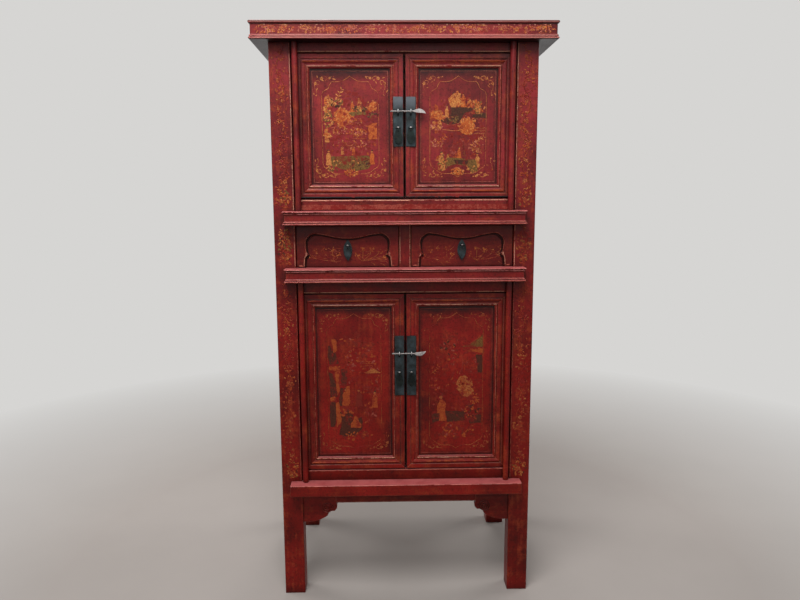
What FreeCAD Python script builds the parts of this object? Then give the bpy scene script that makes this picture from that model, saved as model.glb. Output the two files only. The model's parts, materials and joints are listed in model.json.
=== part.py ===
import FreeCAD, Part
import os
from FreeCAD import Vector

# Four-post lacquered cabinet with two cupboards, a row of two drawers and iron lock furniture.
# Millimetres. +Z is up, the front faces -Y, and the origin is on the floor under the middle of the top.

# Carcass
body_width = 800.0
body_depth = 530.0
post_width = 65.0
post_depth = 60.0
post_edge_round = 2.5

# Heights, stacked from the floor up
leg_height = 354.0
bottom_belt_height = 36.0
lower_sill_height = 34.0
lower_door_height = 570.0
lower_head_height = 37.0
lower_belt_height = 43.0
drawer_opening_height = 131.0
upper_belt_height = 43.0
upper_sill_height = 34.0
upper_door_height = 422.0
upper_head_height = 28.0
top_thickness = 52.0
door_gap = 4.0

# Moulded top: a mitred frame round a floating board
top_side_overhang = 49.0
top_front_overhang = 43.0
top_back_overhang = 15.0
top_frame_width = 90.0
top_board_thickness = 14.0
top_board_drop = 1.5
top_tongue_thickness = 6.0
top_tongue_depth = 8.0
post_stub_size = 30.0
post_stub_height = 22.0

# Rails between the posts and their joints
rail_setback = 5.0
rail_depth = 40.0
tenon_length = 22.0
tenon_thickness = 12.0
tenon_shoulder = 6.0
tenon_end_gap = 1.0
stop_lip_height = 8.0
stop_gap = 0.4
stop_end_inset = 20.0

# Projecting belts, notched round the posts
belt_projection = 40.0
belt_end_inset = 31.0

# Sides and back: rails with floating panels
side_inset = 8.0
side_rail_thickness = 26.0
back_inset = 11.0
back_rail_thickness = 24.0
panel_thickness = 10.0
panel_tongue = 8.0
panel_play = 0.3
side_apron_height = 50.0
side_apron_thickness = 14.0

# Front apron and its two spandrels
apron_setback = 6.0
apron_thickness = 16.0
apron_height = 42.0
apron_tongue_height = 6.0
apron_tongue_thickness = 8.0
spandrel_width = 107.0
spandrel_height = 107.0

# Boards inside and the strips that carry them
board_thickness = 14.0
bearer_size = 20.0
shelf_post_gap = 2.0
upper_shelf_height = 205.0
lower_shelf_height = 285.0
guide_height = 30.0
partition_thickness = 16.0

# Doors, each turning on a round pole that carries turned pivot pins
pole_radius = 9.0
pole_side_gap = 3.5
pole_rail_gap = 2.0
pole_neck_width = 10.0
pole_end_gap = 0.3
pivot_pin_radius = 5.0
pivot_pin_length = 12.0
pivot_play = 0.08
pivot_end_gap = 1.0
door_side_gap = 5.5
door_meeting_gap = 3.5
door_thickness = 26.0
door_frame_width = 41.0
door_step = 2.5
door_panel_recess = 9.0
door_panel_thickness = 8.0
door_panel_tongue = 7.0
door_tenon_thickness = 7.0

# Iron lock plates on the meeting stiles
plate_width = 29.0
plate_thickness = 1.8
plate_edge_gap = 2.8
plate_corner_round = 1.5
upper_plate_height = 145.0
upper_plate_drop = 123.5
upper_eye_drop = 42.0
upper_pendant_drop = 90.0
lower_plate_height = 192.0
lower_plate_drop = 133.0
lower_eye_drop = 54.5
lower_pendant_drop = 115.0
eye_radius = 5.0
eye_wire_radius = 1.6
shank_radius = 1.3
shank_depth = 20.0
hole_play = 0.1

# Hanging leaf pulls and the staples they swing on
staple_wire_radius = 1.6
staple_width = 12.0
staple_bend_radius = 1.7
staple_standoff = 6.0
barrel_radius = 3.2
barrel_length = 8.0
barrel_play = 0.08
leaf_thickness = 2.4
door_leaf_length = 48.0
door_leaf_width = 24.0
drawer_leaf_length = 42.0
drawer_leaf_width = 19.0

# Lock pins, pushed home through both eyes of a pair of doors
pin_radius = 2.3
pin_seat_gap = 0.3
pin_tail_past_eye = 23.0
pin_head_past_eye = 10.0
pin_head_length = 35.0
pin_head_height = 14.0
pin_head_thickness = 4.0

# Drawers
muntin_width = 35.0
muntin_tenon_length = 15.0
drawer_gap = 2.5
drawer_frame_thickness = 6.0
drawer_front_thickness = 18.0
drawer_box_depth = 440.0
drawer_side_thickness = 10.0
drawer_side_inset = 1.0
drawer_side_tongue = 6.0
drawer_side_drop = 12.0
drawer_back_thickness = 10.0
drawer_bottom_thickness = 7.0
drawer_bottom_rise = 4.0
drawer_bottom_tongue = 4.0
drawer_runner_gap = 0.3
pull_plate_width = 27.0
pull_plate_height = 65.0
pull_plate_thickness = 1.5
pull_staple_drop = 17.0
pull_centre_share = 0.60

# Every cut runs this far past the face that it opens
overrun = 2.0

# Profiles and outlines, as shares of the piece that they shape
belt_band_shares = ((0.14, 0.00), (0.13, 0.08), (0.46, 0.15), (0.13, 0.08), (0.14, 0.00))
plain_belt_band_shares = ((1.00, 0.00),)
top_band_shares = ((0.13, 0.00), (0.12, 0.05), (0.58, 0.12), (0.17, 0.00))
flat_band_limit_share = 0.40
bead_bulge_share = 0.45
door_band_share = 0.34
door_hump_shares = ((0.52, 0.20), (0.70, 1.30))
door_fillet_shares = (0.76, 1.30)
door_bead_shares = ((0.85, 0.50), (0.94, 1.30))
door_edge_shares = (1.00, 2.00)
door_tenon_shares = (0.20, 0.64)
door_tenon_reach_share = 0.16
spandrel_shares = (
    (0.00, 0.00), (1.00, 0.00), (1.00, 0.40), ((1.03, 0.54), (0.94, 0.66)),
    ((0.82, 0.68), (0.74, 0.80)), ((0.48, 0.94), (0.14, 1.00)), (0.00, 1.00),
)
ogee_shares = (
    (0.074, 0.000), (0.079, 0.186), ((0.092, 0.265), (0.116, 0.300)), ((0.100, 0.345), (0.093, 0.420)),
    (0.088, 0.558), ((0.095, 0.690), (0.135, 0.775)), ((0.165, 0.805), (0.198, 0.800)),
    ((0.290, 0.765), (0.383, 0.709)), ((0.440, 0.690), (0.500, 0.686)),
)
leaf_shares = (
    (-0.16, 0.00), (0.16, 0.00), ((0.36, 0.30), (0.50, 0.62)), ((0.34, 0.86), (0.00, 1.00)),
    ((-0.34, 0.86), (-0.50, 0.62)), ((-0.36, 0.30), (-0.16, 0.00)),
)
pull_plate_shares = (
    (0.00, 0.50), ((0.33, 0.30), (0.50, 0.00)), ((0.33, -0.30), (0.00, -0.50)),
    ((-0.33, -0.30), (-0.50, 0.00)), ((-0.33, 0.30), (0.00, 0.50)),
)
pin_head_shares = (
    (0.00, 0.16), ((0.48, 0.50), (1.00, -0.50)), ((0.66, -0.36), (0.30, -0.32)), (0.00, -0.16),
)

# Levels worked out from the stack
z_lower_sill = leg_height + bottom_belt_height
z_lower_door = z_lower_sill + lower_sill_height + door_gap
z_lower_head = z_lower_door + lower_door_height + door_gap
z_lower_belt = z_lower_head + lower_head_height
z_drawers = z_lower_belt + lower_belt_height
z_upper_belt = z_drawers + drawer_opening_height
z_upper_sill = z_upper_belt + upper_belt_height
z_upper_door = z_upper_sill + upper_sill_height + door_gap
z_upper_head = z_upper_door + upper_door_height + door_gap
z_top = z_upper_head + upper_head_height
total_height = z_top + top_thickness

# Planes worked out from the carcass
top_half_width = body_width / 2 + top_side_overhang
top_depth = body_depth + top_front_overhang + top_back_overhang
front_y = top_front_overhang - top_depth / 2
back_y = front_y + body_depth
half_width = body_width / 2
inner_x = half_width - post_width
front_post_back_y = front_y + post_depth
back_post_front_y = back_y - post_depth
rail_front_y = front_y + rail_setback
rail_back_y = rail_front_y + rail_depth
side_outer_x = half_width - side_inset
side_inner_x = side_outer_x - side_rail_thickness
side_mid_x = (side_outer_x + side_inner_x) / 2
back_rail_back_y = back_y - back_inset
back_rail_front_y = back_rail_back_y - back_rail_thickness
back_mid_y = (back_rail_back_y + back_rail_front_y) / 2
wall_tenon_shoulder = panel_tongue + tenon_end_gap

# Door planes and the pivot line
pivot_x = inner_x - pole_side_gap - pole_radius
pivot_y = rail_front_y - pole_rail_gap - pole_radius
door_front_y = rail_front_y
door_back_y = door_front_y + door_thickness
door_outer_x = inner_x - door_side_gap
door_meeting_x = door_meeting_gap / 2
plate_front_y = door_front_y - plate_thickness
eye_y = plate_front_y - eye_radius - eye_wire_radius

# Spans of the rails that share a level on the front, the sides and the back
front_rail_spans = {
    "upper_head_rail": (z_upper_head, z_top),
    "upper_sill_rail": (z_upper_sill, z_upper_sill + upper_sill_height),
    "lower_head_rail": (z_lower_head, z_lower_belt),
    "lower_sill_rail": (z_lower_sill, z_lower_sill + lower_sill_height),
}
belt_spans = {
    "upper_belt": (z_upper_belt, z_upper_sill),
    "lower_belt": (z_lower_belt, z_drawers),
    "bottom_belt": (leg_height, z_lower_sill),
}
wall_rail_spans = (
    (leg_height, z_lower_sill + lower_sill_height),
    (z_lower_head, z_drawers),
    (z_upper_belt, z_upper_sill + upper_sill_height),
    (z_upper_head, z_top),
)
wall_panel_spans = tuple(
    (below[1], above[0]) for below, above in zip(wall_rail_spans, wall_rail_spans[1:])
)


def box(x0, x1, y0, y1, z0, z1):
    """Block between two corners."""
    return Part.makeBox(x1 - x0, y1 - y0, z1 - z0, Vector(x0, y0, z0))


def mirrored(shape):
    """The same shape on the other side of the cabinet."""
    return shape.mirror(Vector(), Vector(1, 0, 0))


def both(shape):
    """A left-hand shape and its right-hand twin."""
    return [shape, mirrored(shape)]


def joined(shapes):
    """One clean solid out of several that meet."""
    return shapes[0].fuse(list(shapes[1:])).removeSplitter()


def save(name, solids):
    """Write one node."""
    Part.makeCompound(list(solids)).exportStep("parts/%s.step" % name)


def traced(steps, place):
    """Face inside an outline: a point draws a line to it, a pair draws an arc through its first."""
    edges = []
    here = steps[0]
    for step in tuple(steps[1:]) + (steps[0],):
        if isinstance(step[0], tuple):
            via, end = step
            edges.append(Part.Arc(place(*here), place(*via), place(*end)).toShape())
        else:
            end = step
            if place(*here).distanceToPoint(place(*end)) > 0:
                edges.append(Part.LineSegment(place(*here), place(*end)).toShape())
        here = end
    return Part.Face(Part.Wire(edges))


def band_steps(band_shares, height, reach):
    """Moulding outline as (setback, height) steps from the bottom up; narrow bands are beads."""
    steps = []
    level = 0
    for height_share, setback_share in band_shares:
        low, level = level, level + height_share * height
        setback = setback_share * reach
        if height_share > flat_band_limit_share:
            steps += [(setback, low), (setback, level)]
        else:
            bulge = setback + bead_bulge_share * (level - low)
            steps += [(bulge, low), ((setback, (low + level) / 2), (bulge, level))]
    return steps


def moulded_slab(half_length, y_front, y_back, z0, height, reach, band_shares):
    """Slab whose front and two ends carry one moulding, mitred at the corners."""
    steps = band_steps(band_shares, height, reach)
    depth = y_back - y_front
    front = traced(
        [(depth, 0)] + steps + [(depth, height)],
        lambda setback, level: Vector(-half_length, y_front + setback, z0 + level),
    ).extrude(Vector(2 * half_length, 0, 0))
    end = traced(
        [(half_length, 0)] + steps + [(half_length, height)],
        lambda setback, level: Vector(setback - half_length, y_front, z0 + level),
    ).extrude(Vector(0, depth, 0))
    return front.common(joined(both(end)))


def front_tenon(z0, z1, end_gap=0):
    """Left-hand tenon of a front rail, or its mortise when an end gap is given."""
    mid = (rail_front_y + rail_back_y) / 2
    return box(-inner_x - tenon_length - end_gap, -inner_x, mid - tenon_thickness / 2,
               mid + tenon_thickness / 2, z0 + tenon_shoulder, z1 - tenon_shoulder)


def side_tenon(z0, z1, end_gap=0):
    """Front tenon of a left-hand side rail, or its mortise."""
    return box(-side_mid_x - panel_thickness / 2, -side_mid_x + panel_thickness / 2,
               front_post_back_y - tenon_length - end_gap, front_post_back_y,
               z0 + wall_tenon_shoulder, z1 - wall_tenon_shoulder)


def rear_side_tenon(z0, z1, end_gap=0):
    """Rear tenon of a left-hand side rail, or its mortise."""
    return box(-side_mid_x - panel_thickness / 2, -side_mid_x + panel_thickness / 2,
               back_post_front_y, back_post_front_y + tenon_length + end_gap,
               z0 + wall_tenon_shoulder, z1 - wall_tenon_shoulder)


def back_tenon(z0, z1, end_gap=0):
    """Left-hand tenon of a back rail, or its mortise."""
    return box(-inner_x - tenon_length - end_gap, -inner_x, back_mid_y - panel_thickness / 2,
               back_mid_y + panel_thickness / 2, z0 + wall_tenon_shoulder, z1 - wall_tenon_shoulder)


def side_panel(z0, z1, play=0):
    """Left-hand side panel with its tongues, or its groove room when play is given."""
    reach = panel_tongue + play
    half = panel_thickness / 2 + play
    return box(-side_mid_x - half, -side_mid_x + half, front_post_back_y - reach,
               back_post_front_y + reach, z0 - reach, z1 + reach)


def back_panel(z0, z1, play=0):
    """Back panel with its tongues, or its groove room."""
    reach = panel_tongue + play
    half = panel_thickness / 2 + play
    return box(-inner_x - reach, inner_x + reach, back_mid_y - half, back_mid_y + half,
               z0 - reach, z1 + reach)


def side_apron(play=0):
    """Left-hand side apron, tongued into both posts."""
    reach = panel_tongue + play
    half = side_apron_thickness / 2
    return box(-side_mid_x - half, -side_mid_x + half, front_post_back_y - reach,
               back_post_front_y + reach, leg_height - side_apron_height, leg_height)


def spandrel_tongue(play=0):
    """Tongue of the left-hand spandrel in its leg."""
    mid = front_y + apron_setback + apron_thickness / 2
    half = apron_tongue_thickness / 2
    return box(-inner_x - panel_tongue - play, -inner_x, mid - half, mid + half,
               leg_height - spandrel_height / 2, leg_height - apron_tongue_height)


def post_stub(y0, gap=0):
    """Stub on top of a left-hand post, or its room in the top frame."""
    x0 = -half_width + (post_width - post_stub_size) / 2
    y1 = y0 + (post_depth - post_stub_size) / 2
    return box(x0, x0 + post_stub_size, y1, y1 + post_stub_size, z_top, z_top + post_stub_height + gap)


def post_blank(y0):
    """Left-hand post with eased long edges."""
    blank = box(-half_width, -inner_x, y0, y0 + post_depth, 0, z_top)
    long_edges = [edge for edge in blank.Edges if edge.Length > z_top - overrun]
    return blank.makeFillet(post_edge_round, long_edges)


def front_post():
    """Left-hand front post with all its mortises and grooves."""
    rooms = [front_tenon(*span, tenon_end_gap) for span in front_rail_spans.values()]
    rooms += [front_tenon(*span, tenon_end_gap) for span in belt_spans.values()]
    rooms += [side_tenon(*span, tenon_end_gap) for span in wall_rail_spans]
    rooms += [side_panel(*span, panel_play) for span in wall_panel_spans]
    rooms += [side_apron(panel_play), spandrel_tongue(panel_play)]
    return joined([post_blank(front_y), post_stub(front_y)]).cut(rooms)


def rear_post():
    """Left-hand rear post with all its mortises and grooves."""
    rooms = [rear_side_tenon(*span, tenon_end_gap) for span in wall_rail_spans]
    rooms += [back_tenon(*span, tenon_end_gap) for span in wall_rail_spans]
    rooms += [side_panel(*span, panel_play) for span in wall_panel_spans]
    rooms += [back_panel(*span, panel_play) for span in wall_panel_spans]
    rooms.append(side_apron(panel_play))
    return joined([post_blank(back_post_front_y), post_stub(back_post_front_y)]).cut(rooms)


def front_rail(name):
    """Front rail with its tenons and the lip that stops the doors."""
    z0, z1 = front_rail_spans[name]
    lip_half = pivot_x - stop_end_inset
    if "head" in name:
        lip_z0, lip_z1 = z0 - stop_lip_height, z0
    else:
        lip_z0, lip_z1 = z1, z1 + stop_lip_height
    lip = box(-lip_half, lip_half, door_back_y + stop_gap, rail_back_y, lip_z0, lip_z1)
    bar = box(-inner_x, inner_x, rail_front_y, rail_back_y, z0, z1)
    return joined([bar, lip] + both(front_tenon(z0, z1)))


def pivot_socket(z0, z1):
    """Left-hand round hole for a door's pivot pin."""
    return Part.makeCylinder(pivot_pin_radius + pivot_play, z1 - z0, Vector(-pivot_x, pivot_y, z0))


def socket_above(z):
    """Socket that opens downwards at a level."""
    depth = pivot_pin_length + pivot_end_gap
    return pivot_socket(z - overrun, z + depth)


def socket_below(z):
    """Socket that opens upwards at a level."""
    depth = pivot_pin_length + pivot_end_gap
    return pivot_socket(z - depth, z + overrun)


def muntin_tenon(z0, z1):
    """Part of the drawer muntin that enters a belt."""
    mid = (rail_front_y + rail_back_y) / 2
    half = muntin_width / 2 - tenon_shoulder
    return box(-half, half, mid - tenon_thickness / 2, mid + tenon_thickness / 2, z0, z1)


def belt(name):
    """Projecting belt: nose across the posts, plain on the bottom belt, and a back tenoned between them."""
    z0, z1 = belt_spans[name]
    band_shares = plain_belt_band_shares if name == "bottom_belt" else belt_band_shares
    nose = moulded_slab(half_width - belt_end_inset, front_y - belt_projection, front_y, z0, z1 - z0,
                        belt_projection, band_shares)
    back = box(-inner_x, inner_x, front_y, rail_back_y, z0, z1)
    solid = joined([nose, back] + both(front_tenon(z0, z1)))
    if name == "upper_belt":
        rooms = both(socket_below(z1)) + [muntin_tenon(z0, z0 + muntin_tenon_length + tenon_end_gap)]
    elif name == "lower_belt":
        rooms = both(socket_above(z0)) + [muntin_tenon(z1 - muntin_tenon_length - tenon_end_gap, z1)]
    else:
        rooms = both(socket_below(z1)) + [apron_tongue(panel_play)]
    return solid.cut(rooms)


def apron_tongue(play=0):
    """Tongue of the apron and spandrels along the underside of the bottom belt."""
    mid = front_y + apron_setback + apron_thickness / 2
    half = apron_tongue_thickness / 2
    return box(-inner_x, inner_x, mid - half, mid + half, leg_height, leg_height + apron_tongue_height + play)


def front_apron():
    """Straight middle of the apron, with its share of the tongue."""
    half = inner_x - spandrel_width
    y0 = front_y + apron_setback
    board = box(-half, half, y0, y0 + apron_thickness, leg_height - apron_height, leg_height)
    slice_box = box(-half, half, y0, y0 + apron_thickness, leg_height, leg_height + apron_tongue_height)
    return joined([board, apron_tongue().common(slice_box)])


def front_spandrel():
    """Left-hand spandrel with its lobed lower edge, tongued into leg and belt."""
    y0 = front_y + apron_setback
    face = traced(spandrel_shares, lambda across, down: Vector(
        -inner_x + across * spandrel_width, y0, leg_height - down * spandrel_height))
    board = face.extrude(Vector(0, apron_thickness, 0))
    slice_box = box(-inner_x, -inner_x + spandrel_width, y0, y0 + apron_thickness,
                    leg_height, leg_height + apron_tongue_height)
    return joined([board, spandrel_tongue(), apron_tongue().common(slice_box)])


def top_tongue(play=0):
    """Plane of the top board's tongue, or its groove room."""
    z0 = total_height - top_board_drop - (top_board_thickness + top_tongue_thickness) / 2
    reach = top_frame_width - top_tongue_depth - play
    return box(-top_half_width + reach, top_half_width - reach, -top_depth / 2 + reach, top_depth / 2 - reach,
               z0 - play, z0 + top_tongue_thickness + play)


def top_board():
    """Floating board of the top."""
    reach = top_frame_width + panel_play
    z1 = total_height - top_board_drop
    half_x, half_y = top_half_width - reach, top_depth / 2 - reach
    field = box(-half_x, half_x, -half_y, half_y, z1 - top_board_thickness, z1)
    return joined([field, top_tongue()])


def top_frame():
    """Moulded frame of the top, cut along its mitres: front, back, left and right members."""
    y0, y1 = -top_depth / 2, top_depth / 2
    slab = moulded_slab(top_half_width, y0, y1, z_top, top_thickness, top_front_overhang, top_band_shares)
    rooms = [box(-top_half_width + top_frame_width, top_half_width - top_frame_width, y0 + top_frame_width,
                 y1 - top_frame_width, z_top - overrun, total_height + overrun), top_tongue(panel_play)]
    for post_y in (front_y, back_post_front_y):
        rooms += both(post_stub(post_y, tenon_end_gap))
    rooms += both(socket_above(z_top))
    ring = slab.cut(rooms)
    outer = ((-top_half_width, y0), (top_half_width, y0), (top_half_width, y1), (-top_half_width, y1))
    inset = ((top_frame_width, top_frame_width), (-top_frame_width, top_frame_width),
             (-top_frame_width, -top_frame_width), (top_frame_width, -top_frame_width))
    inner = [(corner[0] + step[0], corner[1] + step[1]) for corner, step in zip(outer, inset)]
    members = []
    for first in range(len(outer)):
        second = (first + 1) % len(outer)
        plan = traced((outer[first], outer[second], inner[second], inner[first]),
                      lambda x, y: Vector(x, y, z_top))
        members.append(ring.common(plan.extrude(Vector(0, 0, top_thickness))))
    front, right, back, left = members
    return front, back, left, right


def side_rails():
    """All rails of the left-hand side, tenoned and grooved for the panels."""
    grooves = [side_panel(*span, panel_play) for span in wall_panel_spans]
    rails = []
    for z0, z1 in wall_rail_spans:
        bar = box(-side_outer_x, -side_inner_x, front_post_back_y, back_post_front_y, z0, z1)
        rails.append(bar.cut(grooves).fuse([side_tenon(z0, z1), rear_side_tenon(z0, z1)]).removeSplitter())
    return rails


def back_rails():
    """All rails of the back, tenoned and grooved for the panels."""
    grooves = [back_panel(*span, panel_play) for span in wall_panel_spans]
    rails = []
    for z0, z1 in wall_rail_spans:
        bar = box(-inner_x, inner_x, back_rail_front_y, back_rail_back_y, z0, z1)
        rails.append(bar.cut(grooves).fuse(both(back_tenon(z0, z1))).removeSplitter())
    return rails


def floor_board(z1):
    """Fixed board between the front and back rails, notched round the posts."""
    board = box(-side_inner_x, side_inner_x, rail_back_y, back_rail_front_y, z1 - board_thickness, z1)
    posts = both(box(-half_width, -inner_x, front_y, front_post_back_y, 0, z_top))
    posts += both(box(-half_width, -inner_x, back_post_front_y, back_y, 0, z_top))
    return board.cut(posts)


def shelf(z1):
    """Loose shelf between the side panels, clear of the posts."""
    half = side_mid_x - panel_thickness / 2 - panel_play
    return box(-half, half, front_post_back_y + shelf_post_gap, back_post_front_y - shelf_post_gap,
               z1 - board_thickness, z1)


def bearer(x_outer, z1):
    """Left-hand strip under a board."""
    return box(-x_outer, -x_outer + bearer_size, front_post_back_y, back_post_front_y, z1 - bearer_size, z1)


def door_profile(outer_reach, place):
    """Section of a door member: flat band, step, hump and bead, from its outer to its inner edge."""
    width = door_frame_width

    def scaled(shares):
        return (shares[0] * width, shares[1] * door_step)

    band = door_band_share * width
    steps = [
        (-outer_reach, 0), (band, 0), (band, door_step),
        (scaled(door_hump_shares[0]), scaled(door_hump_shares[1])), scaled(door_fillet_shares),
        (scaled(door_bead_shares[0]), scaled(door_bead_shares[1])), scaled(door_edge_shares),
        (width, door_thickness), (-outer_reach, door_thickness),
    ]
    return traced(steps, place)


def mitre_wedge(x, z, x_way, z_way, for_stile):
    """Corner block that a mitre takes from a stile or from a rail."""
    far = door_frame_width + overrun
    near_x, near_z = x - x_way * overrun, z - z_way * overrun
    far_x, far_z = x + x_way * far, z + z_way * far
    third = (far_x, near_z) if for_stile else (near_x, far_z)
    face = traced(((near_x, near_z), (far_x, far_z), third),
                  lambda across, up: Vector(across, door_front_y - overrun, up))
    return face.extrude(Vector(0, door_thickness + 2 * overrun, 0))


def door_tenon(x, z, x_way, z_way, end_gap=0):
    """Hidden tenon of a door rail at one corner, or its mortise."""
    low, high = (share * door_frame_width for share in door_tenon_shares)
    reach = door_tenon_reach_share * door_frame_width - end_gap
    xs = sorted((x + x_way * reach, x + x_way * high))
    zs = sorted((z + z_way * low, z + z_way * high))
    mid = door_front_y + door_panel_recess + door_panel_thickness / 2
    return box(xs[0], xs[1], mid - door_tenon_thickness / 2, mid + door_tenon_thickness / 2, zs[0], zs[1])


def door_panel(z0, z1, play=0):
    """Floating panel of a left-hand door, or its groove room."""
    edge = door_frame_width - door_panel_tongue - play
    y0 = door_front_y + door_panel_recess
    return box(-pivot_x + edge, -door_meeting_x - edge, y0 - play, y0 + door_panel_thickness + play,
               z0 + edge, z1 - edge)


def door_corners(z0, z1):
    """The four mitred corners of a left-hand door, with the ways that point into its frame."""
    return [(x, z, x_way, z_way) for x, x_way in ((-pivot_x, 1), (-door_meeting_x, -1))
            for z, z_way in ((z0, 1), (z1, -1))]


def pivot_pole(pole_z0, pole_z1):
    """Round pole with a turned pin at each end."""
    centre = Vector(-pivot_x, pivot_y, pole_z0)
    pin_base = Vector(-pivot_x, pivot_y, pole_z0 - pivot_pin_length)
    length = pole_z1 - pole_z0
    return joined([Part.makeCylinder(pole_radius, length, centre),
                   Part.makeCylinder(pivot_pin_radius, length + 2 * pivot_pin_length, pin_base)])


def door_stiles(z0, z1, pole_z0, pole_z1, drillings):
    """Hinge stile with its pole, and meeting stile drilled for the lock furniture."""
    corners = door_corners(z0, z1)
    rooms = [mitre_wedge(*corner, True) for corner in corners]
    rooms += [door_tenon(*corner, tenon_end_gap) for corner in corners]
    rooms.append(door_panel(z0, z1, panel_play))
    rise = Vector(0, 0, z1 - z0)
    hinge = door_profile(door_outer_x - pivot_x,
                         lambda u, v: Vector(-pivot_x + u, door_front_y + v, z0)).extrude(rise)
    neck = box(-pivot_x - pole_neck_width / 2, -pivot_x + pole_neck_width / 2, pivot_y,
               door_front_y + door_step, z0, z1)
    hinge = joined([hinge.cut(rooms), neck.cut(rooms), pivot_pole(pole_z0, pole_z1)])
    meeting = door_profile(0, lambda u, v: Vector(-door_meeting_x - u, door_front_y + v, z0)).extrude(rise)
    return [hinge, meeting.cut(rooms + drillings)]


def door_rails(z0, z1):
    """Top and bottom rails of a left-hand door with hidden tenons."""
    corners = door_corners(z0, z1)
    wedges = [mitre_wedge(*corner, False) for corner in corners]
    length = Vector(pivot_x - door_meeting_x, 0, 0)
    rails = []
    for z, z_way in ((z0, 1), (z1, -1)):
        bar = door_profile(0, lambda u, v: Vector(-pivot_x, door_front_y + v, z + z_way * u)).extrude(length)
        bar = bar.cut(wedges + [door_panel(z0, z1, panel_play)])
        rails.append(joined([bar] + [door_tenon(*corner) for corner in corners if corner[1] == z]))
    return rails


def staple_drilling(x, y, z):
    """Holes for the two legs of a staple."""
    depth = staple_standoff + shank_depth + tenon_end_gap
    return [Part.makeCylinder(staple_wire_radius + hole_play, depth,
                              Vector(x + side * staple_width / 2, y, z), Vector(0, 1, 0)) for side in (-1, 1)]


def staple(x, y, z):
    """Wire staple bent from one rod: crossbar along X and two legs driven backwards."""
    half = staple_width / 2
    bend = staple_bend_radius
    inner = bend - bend / 2 ** 0.5
    leg_end = y + staple_standoff + shank_depth

    def corner(side):
        return (Vector(x + side * half, y + bend, z), Vector(x + side * (half - inner), y + inner, z),
                Vector(x + side * (half - bend), y, z))

    left, right = corner(-1), corner(1)
    path = Part.Wire([
        Part.LineSegment(Vector(x - half, leg_end, z), left[0]).toShape(),
        Part.Arc(*left).toShape(),
        Part.LineSegment(left[2], right[2]).toShape(),
        Part.Arc(*reversed(right)).toShape(),
        Part.LineSegment(right[0], Vector(x + half, leg_end, z)).toShape(),
    ])
    section = Part.Wire(Part.makeCircle(staple_wire_radius, Vector(x - half, leg_end, z), Vector(0, 1, 0)))
    return path.makePipeShell([section], True, True)


def eye_drilling(x, y, z):
    """Hole for the shank of a lock eye."""
    return Part.makeCylinder(shank_radius + hole_play, shank_depth + eye_wire_radius + tenon_end_gap,
                             Vector(x, y + eye_radius, z), Vector(0, 1, 0))


def lock_eye(x, y, z):
    """Round eye for the lock pin with a shank driven backwards."""
    ring = Part.makeTorus(eye_radius, eye_wire_radius, Vector(x, y, z), Vector(1, 0, 0))
    shank = Part.makeCylinder(shank_radius, shank_depth + eye_wire_radius, Vector(x, y + eye_radius, z),
                              Vector(0, 1, 0))
    return joined([ring, shank])


def leaf(x, y, z, length, width):
    """Leaf-shaped pull with a rolled barrel at its top."""
    face = traced(leaf_shares, lambda across, down: Vector(
        x + across * width, y - leaf_thickness / 2, z - down * length))
    blade = face.extrude(Vector(0, leaf_thickness, 0))
    start = Vector(x - barrel_length / 2, y, z)
    barrel = Part.makeCylinder(barrel_radius, barrel_length, start, Vector(1, 0, 0))
    bore_start = Vector(x - width, y, z)
    bore = Part.makeCylinder(staple_wire_radius + barrel_play, 2 * width, bore_start, Vector(1, 0, 0))
    return joined([blade, barrel]).cut(bore)


def lock_furniture(z_plate, height, eye_drop, pendant_drop):
    """Left-hand plate with its eye and staple, the drillings for them and the leaf that hangs there."""
    x1 = -door_meeting_x - plate_edge_gap
    x0 = x1 - plate_width
    mid = (x0 + x1) / 2
    plate = box(x0, x1, plate_front_y, door_front_y, z_plate - height, z_plate)
    short = [edge for edge in plate.Edges if edge.Length < plate_thickness + hole_play]
    plate = plate.makeFillet(plate_corner_round, short)
    eye_place = (mid, eye_y, z_plate - eye_drop)
    staple_place = (mid, plate_front_y - staple_standoff, z_plate - pendant_drop)
    drillings = [eye_drilling(*eye_place)] + staple_drilling(*staple_place)
    solids = [plate.cut(drillings), lock_eye(*eye_place), staple(*staple_place)]
    return solids, drillings, leaf(*staple_place, door_leaf_length, door_leaf_width)


def lock_pin(z_eye, head_way):
    """Lock pin pushed home through both eyes, with a leaf head that curls up or down."""
    eye_x = door_meeting_x + plate_edge_gap + plate_width / 2
    z = z_eye - (eye_radius - eye_wire_radius - pin_radius - pin_seat_gap)
    x_tail = -eye_x - pin_tail_past_eye
    x_head = eye_x + pin_head_past_eye
    rod = Part.makeCylinder(pin_radius, x_head - x_tail, Vector(x_tail, eye_y, z), Vector(1, 0, 0))
    face_y = eye_y - pin_head_thickness / 2
    face = traced(pin_head_shares, lambda along, up: Vector(
        x_head + along * pin_head_length, face_y, z + head_way * up * pin_head_height))
    return joined([rod, face.extrude(Vector(0, pin_head_thickness, 0))])


def drawer_muntin():
    """Upright between the two drawers, tenoned into both belts."""
    half = muntin_width / 2
    body = box(-half, half, rail_front_y, rail_back_y, z_drawers, z_upper_belt)
    tenon = muntin_tenon(z_drawers - muntin_tenon_length, z_upper_belt + muntin_tenon_length)
    return joined([body, tenon])


def drawer_guides():
    """Strips beside the drawers and the partition between them, all standing on the drawer floor."""
    strip = box(-side_inner_x, -inner_x, front_post_back_y, back_post_front_y,
                z_drawers, z_drawers + guide_height)
    half = partition_thickness / 2
    partition = box(-half, half, rail_back_y, back_rail_front_y, z_drawers, z_upper_belt)
    return both(strip) + [partition]


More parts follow.
